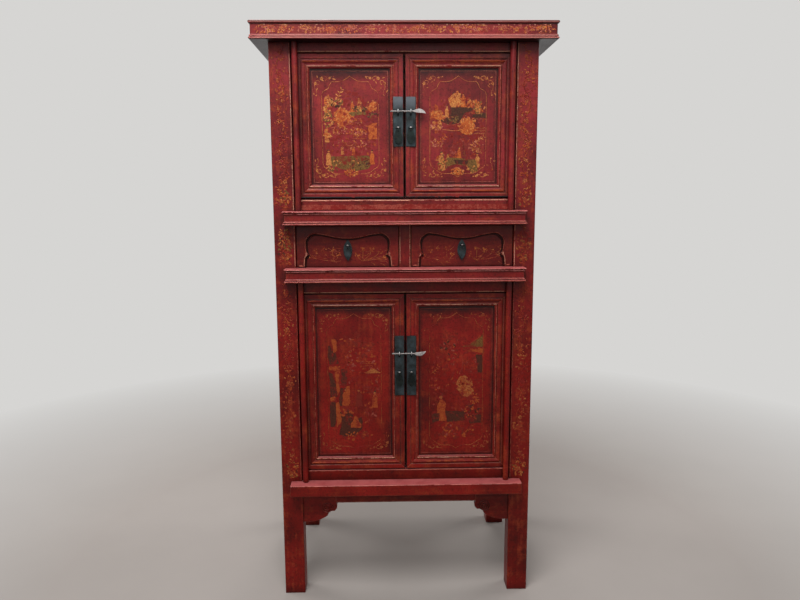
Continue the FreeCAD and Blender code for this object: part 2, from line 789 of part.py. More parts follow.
def drawer():
    """Left-hand drawer: shaped front, box, pull plate and leaf."""
    x0, x1 = -inner_x + drawer_gap, -muntin_width / 2 - drawer_gap
    z0, z1 = z_drawers + drawer_gap, z_upper_belt - drawer_gap
    width, height = x1 - x0, z1 - z0
    board_y = rail_front_y + drawer_frame_thickness
    box_y = board_y + drawer_front_thickness

    def at(across, up):
        return Vector(x0 + across * width, rail_front_y, z0 + up * height)

    mirrored_path = [(1 - ogee_shares[-1][1][0], ogee_shares[-1][1][1])]
    corners = [step if not isinstance(step[0], tuple) else step[1] for step in ogee_shares]
    for step, before in zip(reversed(ogee_shares[1:]), reversed(corners[:-1])):
        end = (1 - before[0], before[1])
        if isinstance(step[0], tuple):
            mirrored_path.append(((1 - step[0][0], step[0][1]), end))
        else:
            mirrored_path.append(end)
    outline = list(ogee_shares) + mirrored_path[1:] + [(1, 0), (1, 1), (0, 1), (0, 0)]
    ogee = traced(outline, at).extrude(Vector(0, drawer_frame_thickness, 0))

    side_x0, side_x1 = x0 + drawer_side_inset, x1 - drawer_side_inset
    side_z0, side_z1 = z_drawers + drawer_runner_gap, z1 - drawer_side_drop
    back_end = box_y + drawer_box_depth
    tongue_y = box_y - drawer_side_tongue
    bottom_z = side_z0 + drawer_bottom_rise
    inner_x0, inner_x1 = side_x0 + drawer_side_thickness, side_x1 - drawer_side_thickness
    bottom = box(inner_x0 - drawer_bottom_tongue, inner_x1 + drawer_bottom_tongue, box_y, back_end,
                 bottom_z, bottom_z + drawer_bottom_thickness)
    tongue_z0 = max(z0, side_z0) + drawer_bottom_rise
    sides = []
    for near, far in ((side_x0, inner_x0), (inner_x1, side_x1)):
        plank = box(near, far, box_y, back_end, side_z0, side_z1)
        tongue = box(near, far, tongue_y, box_y, tongue_z0, side_z1)
        sides.append(joined([plank, tongue]))
    board = box(x0, x1, board_y, box_y, z0, z1).cut(sides)
    back = box(inner_x0, inner_x1, back_end - drawer_back_thickness, back_end,
               bottom_z + drawer_bottom_thickness, side_z1)

    mid = (x0 + x1) / 2
    pull_z = z1 - pull_centre_share * height
    plate_y = board_y - pull_plate_thickness
    place = (mid, plate_y - staple_standoff, pull_z + pull_plate_height / 2 - pull_staple_drop)
    drilling = staple_drilling(*place)
    plate = traced(pull_plate_shares, lambda across, up: Vector(
        mid + across * pull_plate_width, plate_y, pull_z + up * pull_plate_height))
    plate = plate.extrude(Vector(0, pull_plate_thickness, 0)).cut(drilling)
    return {
        "drawer_front": [ogee, board.cut(drilling)],
        "drawer_box": [side.cut(bottom) for side in sides] + [back, bottom],
        "drawer_pull_plate": [plate, staple(*place)],
        "drawer_pull": [leaf(*place, drawer_leaf_length, drawer_leaf_width)],
    }


def save_carcass():
    """Posts, top, rails, panels and boards."""
    for name, post in (("front", front_post()), ("rear", rear_post())):
        save(name + "_left_post", [post])
        save(name + "_right_post", [mirrored(post)])
    front, back, left, right = top_frame()
    save("top_frame_rails", [front, back])
    save("top_frame_ends", [left, right])
    save("top_board", [top_board()])
    for name in front_rail_spans:
        save(name, [front_rail(name)])
    for name in belt_spans:
        save(name, [belt(name)])
    save("front_apron", [front_apron()])
    save("front_spandrels", both(front_spandrel()))
    save("side_rails", [rail for left_rail in side_rails() for rail in both(left_rail)])
    save("side_panels", [panel for span in wall_panel_spans for panel in both(side_panel(*span))])
    save("side_aprons", both(side_apron()))
    save("back_rails", back_rails())
    save("back_panels", [back_panel(*span) for span in wall_panel_spans])


def save_inside():
    """Floors, shelves, the strips under them and the drawer divisions."""
    floors = {
        "upper_floor": z_upper_sill + upper_sill_height,
        "drawer_floor": z_drawers,
        "lower_floor": z_lower_sill + lower_sill_height,
    }
    shelves = {
        "upper_shelf": z_upper_sill + upper_sill_height + upper_shelf_height,
        "lower_shelf": z_lower_sill + lower_sill_height + lower_shelf_height,
    }
    bearers = []
    for name, level in floors.items():
        save(name, [floor_board(level)])
        bearers += both(bearer(side_inner_x, level - board_thickness))
    for name, level in shelves.items():
        save(name, [shelf(level)])
        bearers += both(bearer(side_mid_x - panel_thickness / 2, level - board_thickness))
    save("board_bearers", bearers)
    save("drawer_muntin", [drawer_muntin()])
    save("drawer_guides", drawer_guides())


def save_doors():
    """The two pairs of doors with their lock furniture."""
    pairs = (
        ("upper", z_upper_door, upper_door_height, z_upper_sill, z_top, upper_plate_drop, upper_plate_height,
         upper_eye_drop, upper_pendant_drop, 1),
        ("lower", z_lower_door, lower_door_height, z_lower_sill, z_lower_belt, lower_plate_drop,
         lower_plate_height, lower_eye_drop, lower_pendant_drop, -1),
    )
    for level, z0, height, pole_low, pole_high, drop, plate_height, eye_drop, pendant_drop, head_way in pairs:
        z1 = z0 + height
        furniture, drillings, pendant = lock_furniture(z1 - drop, plate_height, eye_drop, pendant_drop)
        pieces = {
            "door_stiles": door_stiles(z0, z1, pole_low + pole_end_gap, pole_high - pole_end_gap, drillings),
            "door_rails": door_rails(z0, z1),
            "door_panel": [door_panel(z0, z1)],
            "lock_plate": furniture,
            "door_pendant": [pendant],
        }
        for name, solids in pieces.items():
            save("%s_left_%s" % (level, name), solids)
            save("%s_right_%s" % (level, name), [mirrored(solid) for solid in solids])
        save(level + "_lock_pin", [lock_pin(z1 - drop - eye_drop, head_way)])


def save_drawers():
    """The two drawers."""
    for name, solids in drawer().items():
        save("left_" + name, solids)
        save("right_" + name, [mirrored(solid) for solid in solids])


os.makedirs("parts", exist_ok=True)
save_carcass()
save_inside()
save_doors()
save_drawers()
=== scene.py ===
import json
import logging
import math
import random
from collections.abc import Iterable
from dataclasses import dataclass, field
from enum import Enum

import bmesh
import bpy
from mathutils import Matrix, Vector


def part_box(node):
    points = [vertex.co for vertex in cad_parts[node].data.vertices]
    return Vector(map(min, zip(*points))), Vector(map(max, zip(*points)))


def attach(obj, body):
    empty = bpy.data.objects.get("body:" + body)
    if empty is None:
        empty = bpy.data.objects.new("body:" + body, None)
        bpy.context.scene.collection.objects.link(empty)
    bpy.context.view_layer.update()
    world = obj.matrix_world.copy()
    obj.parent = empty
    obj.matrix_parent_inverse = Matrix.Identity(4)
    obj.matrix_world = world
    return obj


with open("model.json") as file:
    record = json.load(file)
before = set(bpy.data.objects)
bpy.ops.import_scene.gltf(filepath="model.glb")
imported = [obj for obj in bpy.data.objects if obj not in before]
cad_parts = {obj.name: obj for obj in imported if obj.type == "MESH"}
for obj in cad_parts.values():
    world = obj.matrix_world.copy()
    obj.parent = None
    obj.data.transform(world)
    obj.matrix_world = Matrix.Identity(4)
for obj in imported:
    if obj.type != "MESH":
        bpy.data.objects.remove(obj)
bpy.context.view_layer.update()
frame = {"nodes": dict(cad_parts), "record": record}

LOG = logging.getLogger("cabinet")

MILLIMETRE = 0.001
UP = Vector((0.0, 0.0, 1.0))

Colour = tuple[float, float, float, float]
Point = tuple[float, float]
# Scale, detail and roughness of a noise
Pattern = tuple[float, float, float]
# Range that is read, and after it the range that is given back
Span = tuple[float, ...]
# Motifs in the order of painting: the brush's method and the rows of values that it takes
Picture = tuple[tuple[str, tuple[tuple, ...]], ...]


def pigment(red: int, green: int, blue: int) -> Colour:
    """Turn a colour from a paint chart into scene light.

    Args:
        red: Red from 0 to 255 on the screen's scale.
        green: Green from 0 to 255.
        blue: Blue from 0 to 255.

    Returns:
        The colour as linear RGBA.
    """
    def linear(level: int) -> float:
        """Undo the screen's curve for one channel."""
        share = level / 255
        return share / 12.92 if share <= 0.04045 else ((share + 0.055) / 1.055) ** 2.4

    return linear(red), linear(green), linear(blue), 1.0


def mixed(first: Colour, second: Colour, share: float) -> Colour:
    """Colour between two others."""
    return tuple(one + (two - one) * share for one, two in zip(first, second))


LACQUER_RED = pigment(120, 28, 23)
BLACK = pigment(0, 0, 0)
WHITE = pigment(255, 255, 255)


class Grain(Enum):
    """Way that the wood runs under the lacquer, as noise scales along X, Y and Z."""

    ACROSS = (5.0, 110.0, 110.0)
    DEEP = (110.0, 5.0, 110.0)
    UPRIGHT = (110.0, 110.0, 5.0)


class Tone(Enum):
    """Paints of the gilder, numbered by their place in a painting's materials."""

    GOLD = 0
    PALE = 1
    ORANGE = 2
    OLIVE = 3
    UMBER = 4
    ROSE = 5
    EARTH = 6
    PINK = 7


GOLD, PALE, ORANGE, OLIVE, UMBER, ROSE, EARTH, PINK = Tone
# Level on a belt, setback from its front and paint of each line along it
Beads = tuple[tuple[float, float, Tone], ...]
# Bright and dull colour of each paint
TONE_CHART = {
    GOLD: (pigment(218, 150, 80), pigment(166, 92, 44)),
    PALE: (pigment(230, 180, 150), pigment(196, 124, 100)),
    ORANGE: (pigment(206, 112, 46), pigment(160, 68, 30)),
    OLIVE: (pigment(122, 92, 44), pigment(80, 56, 28)),
    UMBER: (pigment(66, 44, 28), pigment(40, 22, 16)),
    ROSE: (pigment(196, 120, 98), pigment(138, 58, 46)),
    EARTH: (pigment(112, 48, 30), pigment(84, 32, 22)),
    PINK: (pigment(240, 158, 150), pigment(214, 118, 110)),
}


class NodeSheet:
    """Short calls that add and join the nodes of one tree."""

    samples = 6

    def __init__(self, tree: bpy.types.NodeTree) -> None:
        """Work on a tree."""
        self.tree = tree

    def put(self, node: bpy.types.Node, socket: str | int, value: object) -> None:
        """Link a socket into an input, or set the input to a plain value."""
        if isinstance(value, bpy.types.NodeSocket):
            self.tree.links.new(value, node.inputs[socket])
        else:
            node.inputs[socket].default_value = value

    def fill(self, node: bpy.types.Node, *values: object) -> bpy.types.Node:
        """Put values or sockets into a node's first inputs."""
        for socket, value in enumerate(values):
            self.put(node, socket, value)
        return node

    def add(self, kind: str, settings: dict | None = None, **inputs: object) -> bpy.types.Node:
        """Add a node.

        Args:
            kind: Node type without its ShaderNode prefix.
            settings: Properties of the node itself.
            **inputs: Values or sockets for inputs, with spaces written as underscores.

        Returns:
            The new node.
        """
        node = self.tree.nodes.new("ShaderNode" + kind)
        for name, value in (settings or {}).items():
            setattr(node, name, value)
        for name, value in inputs.items():
            self.put(node, name.replace("_", " "), value)
        return node

    def place(self) -> object:
        """Place on the piece, in the frame's metres."""
        return self.add("TexCoord").outputs["Object"]

    def noise(self, where: object, scale: float, detail: float = 4.0, rough: float = 0.55) -> object:
        """Noise value at a place."""
        node = self.add("TexNoise", Vector=where, Scale=scale, Detail=detail, Roughness=rough)
        return node.outputs["Fac"]

    def calc(self, operation: str, first: object, second: object = 0.0) -> object:
        """Result of a two-value sum, product or comparison."""
        return self.fill(self.add("Math", {"operation": operation}), first, second).outputs[0]

    def weave(self, operation: str, first: object, second: object) -> bpy.types.Node:
        """Vector node that joins two vectors."""
        return self.fill(self.add("VectorMath", {"operation": operation}), first, second)

    def axis(self, vector: object, name: str) -> object:
        """One measure of a vector."""
        return self.add("SeparateXYZ", Vector=vector).outputs[name]

    def drawn(self, where: object, scale: tuple[float, float, float]) -> object:
        """Place drawn out along the axes."""
        return self.add("Mapping", Vector=where, Scale=scale).outputs[0]

    def rounded(self, radius: float) -> object:
        """Way that the surface faces, with its edges eased."""
        return self.add("Bevel", {"samples": self.samples}, Radius=radius).outputs["Normal"]

    def bumped(self, height: object, strength: float, depth: float, **inputs: object) -> object:
        """Way that the surface faces, with its small hills."""
        return self.add("Bump", Strength=strength, Distance=depth, Height=height, **inputs).outputs[0]

    def span(self, value: object, low: float, high: float, start: float = 0.0, end: float = 1.0) -> object:
        """Value moved from one range to another and held there."""
        node = self.add("MapRange", Value=value, From_Min=low, From_Max=high, To_Min=start, To_Max=end)
        return node.outputs[0]

    def blend(self, share: object, under: object, over: object) -> object:
        """Colour laid over another by a share."""
        node = self.add("Mix", {"data_type": "RGBA"})
        self.put(node, 0, share)
        self.put(node, 6, under)
        self.put(node, 7, over)
        return node.outputs[2]

    def ramp(self, share: object, stops: list[tuple[float, Colour]]) -> object:
        """Colour read from a row of stops."""
        node = self.add("ValToRGB", Fac=share)
        row = node.color_ramp.elements
        while len(row) < len(stops):
            row.new(0.5)
        for element, (place, colour) in zip(row, stops):
            element.position = place
            element.color = colour
        return node.outputs["Color"]

    def seen(self) -> object:
        """1 on rays from the camera, a mirror or glass, and 0 on all others."""
        rays = self.add("LightPath").outputs
        share = self.calc("MAXIMUM", rays["Is Camera Ray"], rays["Is Glossy Ray"])
        return self.calc("MAXIMUM", share, rays["Is Transmission Ray"])


class ShaderSheet(NodeSheet):
    """One material and its nodes."""

    def __init__(self, name: str) -> None:
        """Start a material with a bare surface shader."""
        self.material = bpy.data.materials.new(name)
        self.material.use_nodes = True
        super().__init__(self.material.node_tree)
        self.surface = self.tree.nodes["Principled BSDF"]

    def dress(self, **inputs: object) -> bpy.types.Material:
        """Set the surface shader's inputs and return the material."""
        for name, value in inputs.items():
            self.put(self.surface, name.replace("_", " "), value)
        return self.material


@dataclass(frozen=True)
class Proud:
    """Crests of mouldings that are rubbed, with a painted highlight line along them: their distances from the
    middle along X and along -Y.
    """

    sides: tuple[float, ...]
    fronts: tuple[float, ...]
    reach: float = 0.0002
    core_share: float = 0.6


@dataclass(frozen=True)
class LacquerFinish:
    """Old crimson lacquer on wood, deeper towards the floor and pinker above by painted reflection, rubbed at
    its edges, paler on upward faces by dust and painted highlight, and darker in its corners by dirt and
    painted shade.
    """

    name: str
    grain: Grain
    # The first three reds carry a painted pinkish reflection; lower down they fade into the deep reds, which
    # carry none
    shade: Colour = pigment(80, 18, 18)
    body: Colour = pigment(120, 31, 33)
    glow: Colour = pigment(150, 42, 46)
    deep_shade: Colour = pigment(78, 11, 7)
    deep_body: Colour = pigment(117, 19, 12)
    deep_glow: Colour = pigment(146, 28, 22)
    deep_below: float = 0.75
    painted_sheen_above: float = 1.35
    tone_stops: tuple[float, ...] = (0.30, 0.48, 0.70)
    tone_streaks: Span = (0.2, 0.8, -0.05, 0.05)
    rubbed: Colour = pigment(160, 66, 36)
    rubbing: float = 0.45
    rubbed_streaks: Span = (0.3, 0.7, -0.08, 0.08)
    rubbed_span: Span = (0.50, 0.72)
    # Dark colour of specks and hair cracks, which are dirt, and of the hollows, sunk fields and the top's
    # overhang, where it is painted shade
    grime_and_shade: Colour = pigment(30, 9, 7)
    speck_span: Span = (0.50, 0.70, 0.0, 0.6)
    hair_span: Span = (0.0, 0.03, 0.3, 0.0)
    # Darkening in hollows by ambient occlusion: dirt and painted shade
    dirt_and_shade_from: float = 0.32
    dirt_and_shade_span: Span = (0.95, 0.8, 0.0)
    dirt_and_shade_reach: float = 0.035
    # Sunk panel: painted shadow along its sides, deepest under its top rail
    sunk_field: tuple[float, float, float, float] | None = None
    field_rag: Span = (0.3, 0.7, -0.007, 0.007)
    field_sides: Span = (0.001, 0.014, 0.65, 0.0)
    field_top: Span = (0.006, 0.034, 0.92, 0.0)
    # Pale pink on faces that look upward: dust, and painted highlight from light above
    dust: Colour = pigment(192, 104, 104)
    dust_and_top_light: float = 0.66
    level_span: Span = (0.45, 0.9)
    dust_span: Span = (0.30, 0.55, 0.55, 1.0)
    edge: Colour = pigment(180, 108, 88)
    edge_wear: float = 0.6
    edge_radius: float = 0.0036
    turned_span: Span = (0.985, 0.80)
    thin_span: Span = (0.36, 0.56)
    proud: Proud | None = None
    crest_span: Span = (0.28, 0.46, 0.35, 1.0)
    open_span: Span = (0.30, 0.65)
    rim: Colour = pigment(66, 38, 35)
    rim_from: float | None = None
    rim_blur: float = 0.0008
    upright_span: Span = (0.9, 0.7, 0.0, 0.8)
    # Below the top's overhang: painted grey reflection at the sides, painted shadow in the dark colour along
    # the front
    underside: Colour = pigment(104, 106, 110)
    underside_from: float | None = None
    underside_blur: float = 0.004
    down_span: Span = (-0.7, -0.9)
    gloss_span: Span = (0.3, 0.7, 0.32, 0.46)
    thin_gloss: float = 0.2
    specular: float = 0.2
    own_shift: tuple[float, float, float] = (3.1, 5.3, 7.7)
    streak_noise: Pattern = (1.0, 5.0, 0.6)
    cloud_noise: Pattern = (5.0, 7.0, 0.6)
    blot_noise: Pattern = (24.0, 9.0, 0.7)
    speck_noise: Pattern = (150.0, 4.0, 0.7)
    grit_noise: Pattern = (420.0, 3.0, 0.6)
    crack_scale: float = 170.0
    streak_height: float = 0.5
    grit_height: float = 0.25
    crack_height: Span = (0.0, 0.04, -0.3, 0.0)
    bump: Point = (0.35, 0.0006)

    def red(self, sheet: ShaderSheet, place: object, cloud: object, streak: object) -> object:
        """Colour of the lacquer by its clouds, with a painted pinkish reflection that grows with height above
        the floor.
        """
        tone = sheet.calc("ADD", cloud, sheet.span(streak, *self.tone_streaks))
        deep, sheened_red = (sheet.ramp(tone, list(zip(self.tone_stops, colours))) for colours in (
            (self.deep_shade, self.deep_body, self.deep_glow), (self.shade, self.body, self.glow)))
        return sheet.blend(sheet.span(sheet.axis(place, "Z"), self.deep_below, self.painted_sheen_above), deep, sheened_red)

    def field_shadow(self, sheet: ShaderSheet, place: object, blot: object) -> object:
        """Share of painted shadow along the sides of a sunk field, most of it at the top under the frame."""
        middle_x, middle_z, half_x, half_z = self.sunk_field
        across = sheet.calc("ABSOLUTE", sheet.calc("SUBTRACT", sheet.axis(place, "X"), middle_x))
        rise = sheet.calc("SUBTRACT", sheet.axis(place, "Z"), middle_z)
        ragged = sheet.span(blot, *self.field_rag)
        side = sheet.calc("SUBTRACT", half_x, across)
        end = sheet.calc("SUBTRACT", half_z, sheet.calc("ABSOLUTE", rise))
        around = sheet.calc("ADD", sheet.calc("MINIMUM", side, end), ragged)
        under_top = sheet.calc("ADD", sheet.calc("SUBTRACT", half_z, rise), ragged)
        return sheet.calc("MAXIMUM", sheet.span(around, *self.field_sides),
                          sheet.span(under_top, *self.field_top))

    def rubbed_and_lit_crests(self, sheet: ShaderSheet, place: object) -> object:
        """Share of wear and painted highlight on the crests of the mouldings that stand proud."""
        across = sheet.calc("ABSOLUTE", sheet.axis(place, "X"))
        front = sheet.calc("MULTIPLY", sheet.axis(place, "Y"), -1.0)
        reach = self.proud.reach
        share = 0.0
        for measure, crests in ((across, self.proud.sides), (front, self.proud.fronts)):
            for crest in crests:
                away = sheet.calc("ABSOLUTE", sheet.calc("SUBTRACT", measure, crest - reach / 2))
                share = sheet.calc("MAXIMUM", share, sheet.span(away, reach, reach * self.proud.core_share))
        return share

    def trim(self, sheet: ShaderSheet, colour: object, place: object, facing: object) -> object:
        """Colour with the chipped rim laid over it, and the top's overhang seen from below: painted shadow
        along its front and a painted grey reflection at its sides.
        """
        if self.rim_from:
            upright = sheet.span(sheet.axis(facing, "Z"), *self.upright_span)
            above = sheet.span(sheet.axis(place, "Z"), self.rim_from, self.rim_from + self.rim_blur)
            colour = sheet.blend(sheet.calc("MULTIPLY", upright, above), colour, self.rim)
        if self.underside_from:
            down = sheet.span(sheet.axis(facing, "Z"), *self.down_span)
            across = sheet.calc("ABSOLUTE", sheet.axis(place, "X"))
            side_reflection = sheet.span(across, self.underside_from, self.underside_from + self.underside_blur)
            colour = sheet.blend(down, colour, sheet.blend(side_reflection, self.grime_and_shade, self.underside))
        return colour

    def material(self) -> bpy.types.Material:
        """Build the lacquer's nodes.

        Returns:
            The finished material.
        """
        sheet = ShaderSheet(self.name)
        own = sheet.add("ObjectInfo").outputs["Random"]
        shift = sheet.add("VectorMath", {"operation": "SCALE"}, Vector=self.own_shift, Scale=own).outputs[0]
        place = sheet.place()
        where = sheet.weave("ADD", place, shift).outputs[0]
        streak = sheet.noise(sheet.drawn(where, self.grain.value), *self.streak_noise)
        cloud, blot, speck, grit = (sheet.noise(where, *pattern) for pattern in (
            self.cloud_noise, self.blot_noise, self.speck_noise, self.grit_noise))
        crack = sheet.add("TexVoronoi", {"feature": "DISTANCE_TO_EDGE"}, Vector=where,
                          Scale=self.crack_scale).outputs["Distance"]
        open_air = sheet.add("AmbientOcclusion", {"samples": sheet.samples},
                             Distance=self.dirt_and_shade_reach).outputs["AO"]
        rounded = sheet.rounded(self.edge_radius)
        facing = sheet.add("NewGeometry").outputs["Normal"]

        colour = self.red(sheet, place, cloud, streak)
        tired = sheet.calc("ADD", blot, sheet.span(streak, *self.rubbed_streaks))
        worn = sheet.calc("MULTIPLY", sheet.span(tired, *self.rubbed_span), self.rubbing)
        colour = sheet.blend(worn, colour, self.rubbed)
        # Specks and hair cracks are dirt; the darkening in hollows is dirt and painted shade
        soil_and_shade = [sheet.span(speck, *self.speck_span), sheet.span(crack, *self.hair_span),
                sheet.span(open_air, self.dirt_and_shade_from, *self.dirt_and_shade_span)]
        # A sunk panel adds painted shadow along its sides, most under its top rail
        if self.sunk_field:
            soil_and_shade.append(self.field_shadow(sheet, place, blot))
        for share in soil_and_shade:
            colour = sheet.blend(share, colour, self.grime_and_shade)
        # Upward faces paled: dust and a painted highlight from light falling from above
        level = sheet.span(sheet.axis(rounded, "Z"), *self.level_span)
        laid = sheet.calc("MULTIPLY", level, sheet.span(blot, *self.dust_span))
        colour = sheet.blend(sheet.calc("MULTIPLY", laid, self.dust_and_top_light), colour, self.dust)

        agree = sheet.weave("DOT_PRODUCT", rounded, facing).outputs["Value"]
        turned = sheet.span(agree, *self.turned_span)
        thin = sheet.calc("MULTIPLY", turned, sheet.span(blot, *self.thin_span))
        # Crests of the top and belt mouldings: rubbed, and a painted highlight line
        if self.proud:
            crest = self.rubbed_and_lit_crests(sheet, place)
            crest = sheet.calc("MULTIPLY", crest, sheet.span(blot, *self.crest_span))
            thin = sheet.calc("MAXIMUM", thin, crest)
        for share in (sheet.span(open_air, *self.open_span), self.edge_wear):
            thin = sheet.calc("MULTIPLY", thin, share)
        colour = self.trim(sheet, sheet.blend(thin, colour, self.edge), place, facing)

        gloss = sheet.calc("ADD", sheet.span(cloud, *self.gloss_span),
                           sheet.calc("MULTIPLY", thin, self.thin_gloss))
        relief = sheet.calc("ADD", sheet.calc("MULTIPLY", streak, self.streak_height),
                            sheet.calc("MULTIPLY", grit, self.grit_height))
        relief = sheet.calc("ADD", relief, sheet.span(crack, *self.crack_height))
        return sheet.dress(Base_Color=colour, Roughness=gloss, Specular_IOR_Level=self.specular,
                           Normal=sheet.bumped(relief, *self.bump, Normal=rounded))


@dataclass(frozen=True)
class SoftwoodFinish:
    """Bare aged softwood inside and behind."""

    name: str
    grain: Grain
    early: Colour = pigment(150, 108, 70)
    late: Colour = pigment(92, 60, 36)
    ring_stops: Point = (0.34, 0.66)
    dust: Colour = pigment(70, 50, 36)
    dust_span: Span = (0.45, 0.75, 0.0, 0.6)
    gloss_span: Span = (0.3, 0.7, 0.62, 0.82)
    ring_noise: Pattern = (0.9, 6.0, 0.6)
    cloud_noise: Pattern = (5.0, 5.0, 0.6)
    bump: Point = (0.3, 0.0008)

    def material(self) -> bpy.types.Material:
        """Build the wood's nodes.

        Returns:
            The finished material.
        """
        sheet = ShaderSheet(self.name)
        place = sheet.place()
        rings = sheet.noise(sheet.drawn(place, self.grain.value), *self.ring_noise)
        cloud = sheet.noise(place, *self.cloud_noise)
        colour = sheet.ramp(rings, list(zip(self.ring_stops, (self.late, self.early))))
        colour = sheet.blend(sheet.span(cloud, *self.dust_span), colour, self.dust)
        return sheet.dress(Base_Color=colour, Roughness=sheet.span(cloud, *self.gloss_span),
                           Normal=sheet.bumped(rings, *self.bump))


@dataclass(frozen=True)
class IronFinish:
    """Blackened wrought iron with a cool sheen, brown bloom, bright wires that stand proud of a plate, and a
    painted pale reflection on the upper end of high plates.
    """

    name: str
    wires_from: float
    black: Colour = pigment(26, 30, 30)
    sheen: Colour = pigment(60, 70, 74)
    sheen_stops: Point = (0.35, 0.68)
    bloom: Colour = pigment(46, 38, 34)
    bloom_span: Span = (0.56, 0.72, 0.0, 0.5)
    wire: Colour = pigment(170, 172, 172)
    wire_blur: float = 0.003
    wire_share: float = 0.9
    # Pale blue-grey painted reflection on the upper end of the upper plates
    plate_reflection: Colour = pigment(94, 97, 103)
    plate_reflection_from: float = 1.552
    plate_reflection_blur: float = 0.03
    plate_reflection_share: float = 0.7
    gloss_span: Span = (0.3, 0.7, 0.36, 0.58)
    metal: float = 0.75
    dent_noise: Pattern = (130.0, 3.0, 0.5)
    cloud_noise: Pattern = (45.0, 6.0, 0.65)
    grit_noise: Pattern = (900.0, 3.0, 0.6)
    grit_height: float = 0.2
    edge_radius: float = 0.0008
    bump: Point = (0.5, 0.0007)

    def material(self) -> bpy.types.Material:
        """Build the iron's nodes.

        Returns:
            The finished material.
        """
        sheet = ShaderSheet(self.name)
        place = sheet.place()
        dents, cloud, grit = (sheet.noise(place, *pattern) for pattern in (
            self.dent_noise, self.cloud_noise, self.grit_noise))
        colour = sheet.ramp(cloud, list(zip(self.sheen_stops, (self.black, self.sheen))))
        colour = sheet.blend(sheet.span(dents, *self.bloom_span), colour, self.bloom)
        # Painted reflection above a height
        high = sheet.span(sheet.axis(place, "Z"), self.plate_reflection_from, self.plate_reflection_from + self.plate_reflection_blur,
                          0.0, self.plate_reflection_share)
        colour = sheet.blend(high, colour, self.plate_reflection)
        front = sheet.calc("MULTIPLY", sheet.axis(place, "Y"), -1.0)
        polish = sheet.span(front, self.wires_from, self.wires_from + self.wire_blur, 0.0, self.wire_share)
        colour = sheet.blend(polish, colour, self.wire)
        relief = sheet.calc("ADD", dents, sheet.calc("MULTIPLY", grit, self.grit_height))
        return sheet.dress(Base_Color=colour, Metallic=self.metal,
                           Roughness=sheet.span(cloud, *self.gloss_span),
                           Normal=sheet.bumped(relief, *self.bump, Normal=sheet.rounded(self.edge_radius)))


@dataclass(frozen=True)
class SteelFinish:
    """Hand-polished pale metal with fine drawn scratches, duller on a pin's rod than on its head."""

    name: str
    bright: Colour = pigment(186, 178, 176)
    dull: Colour = pigment(126, 118, 114)
    bright_stops: Point = (0.34, 0.6)
    rod: Colour = pigment(104, 98, 96)
    rod_share: float = 0.8
    head_from: float | None = None
    head_blur: float = 0.006
    gloss_span: Span = (0.3, 0.7, 0.38, 0.54)
    metal: float = 0.35
    scratch_scale: tuple[float, float, float] = (60.0, 1500.0, 1500.0)
    scratch_noise: Pattern = (1.0, 4.0, 0.6)
    cloud_noise: Pattern = (160.0, 4.0, 0.6)
    edge_radius: float = 0.0009
    bump: Point = (0.2, 0.0003)

    def material(self) -> bpy.types.Material:
        """Build the metal's nodes.

        Returns:
            The finished material.
        """
        sheet = ShaderSheet(self.name)
        place = sheet.place()
        scratch = sheet.noise(sheet.drawn(place, self.scratch_scale), *self.scratch_noise)
        cloud = sheet.noise(place, *self.cloud_noise)
        colour = sheet.ramp(cloud, list(zip(self.bright_stops, (self.dull, self.bright))))
        if self.head_from:
            before = sheet.span(sheet.axis(place, "X"), self.head_from, self.head_from + self.head_blur,
                                self.rod_share, 0.0)
            colour = sheet.blend(before, colour, self.rod)
        return sheet.dress(Base_Color=colour, Metallic=self.metal,
                           Roughness=sheet.span(scratch, *self.gloss_span),
                           Normal=sheet.bumped(scratch, *self.bump, Normal=sheet.rounded(self.edge_radius)))


@dataclass(frozen=True)
class GiltFinish:
    """One paint of the gilding, mottled and partly rubbed away to the lacquer."""

    name: str
    high: Colour
    low: Colour
    wear: float
    mottle_stops: Point = (0.36, 0.62)
    gone_from: float = 0.62
    gone_by_wear: float = 0.28
    gone_blur: float = 0.09
    gloss_span: Span = (0.3, 0.7, 0.42, 0.6)
    metal: float = 0.1
    specular: float = 0.2
    mottle_noise: Pattern = (260.0, 4.0, 0.6)
    rub_noise: Pattern = (95.0, 7.0, 0.72)
    rub_share: float = 0.6
    patch_noise: Pattern = (15.0, 3.0, 0.5)
    patch_share: float = 0.4
    bump: Point = (0.3, 0.0003)

    def material(self) -> bpy.types.Material:
        """Build the paint's nodes.

        Returns:
            The finished material.
        """
        sheet = ShaderSheet(self.name)
        place = sheet.place()
        mottle, rub, patch = (sheet.noise(place, *pattern) for pattern in (
            self.mottle_noise, self.rub_noise, self.patch_noise))
        colour = sheet.ramp(mottle, list(zip(self.mottle_stops, (self.low, self.high))))
        share = sheet.calc("ADD", sheet.calc("MULTIPLY", rub, self.rub_share),
                           sheet.calc("MULTIPLY", patch, self.patch_share))
        start = self.gone_from - self.gone_by_wear * self.wear
        colour = sheet.blend(sheet.span(share, start, start + self.gone_blur), colour, LACQUER_RED)
        return sheet.dress(Base_Color=colour, Metallic=self.metal, Specular_IOR_Level=self.specular,
                           Roughness=sheet.span(mottle, *self.gloss_span),
                           Normal=sheet.bumped(mottle, *self.bump))


Finish = LacquerFinish | SoftwoodFinish | IronFinish | SteelFinish | GiltFinish


@dataclass
class Palette:
    """All the paints at one state of wear; fade is the share of red that shows through them."""

    name: str
    wear: float
    fade: float
    dark_hold: float = 3.0
    mixed_paints: list[bpy.types.Material] = field(default_factory=list)

    def materials(self) -> list[bpy.types.Material]:
        """Materials in the order of Tone, mixed once."""
        if not self.mixed_paints:
            for tone in Tone:
                fade = self.fade / self.dark_hold if tone in (OLIVE, UMBER) else self.fade
                high, low = (mixed(colour, LACQUER_RED, fade) for colour in TONE_CHART[tone])
                finish = GiltFinish("%s_%s" % (self.name, tone.name.lower()), high, low, self.wear)
                self.mixed_paints.append(finish.material())
        return self.mixed_paints


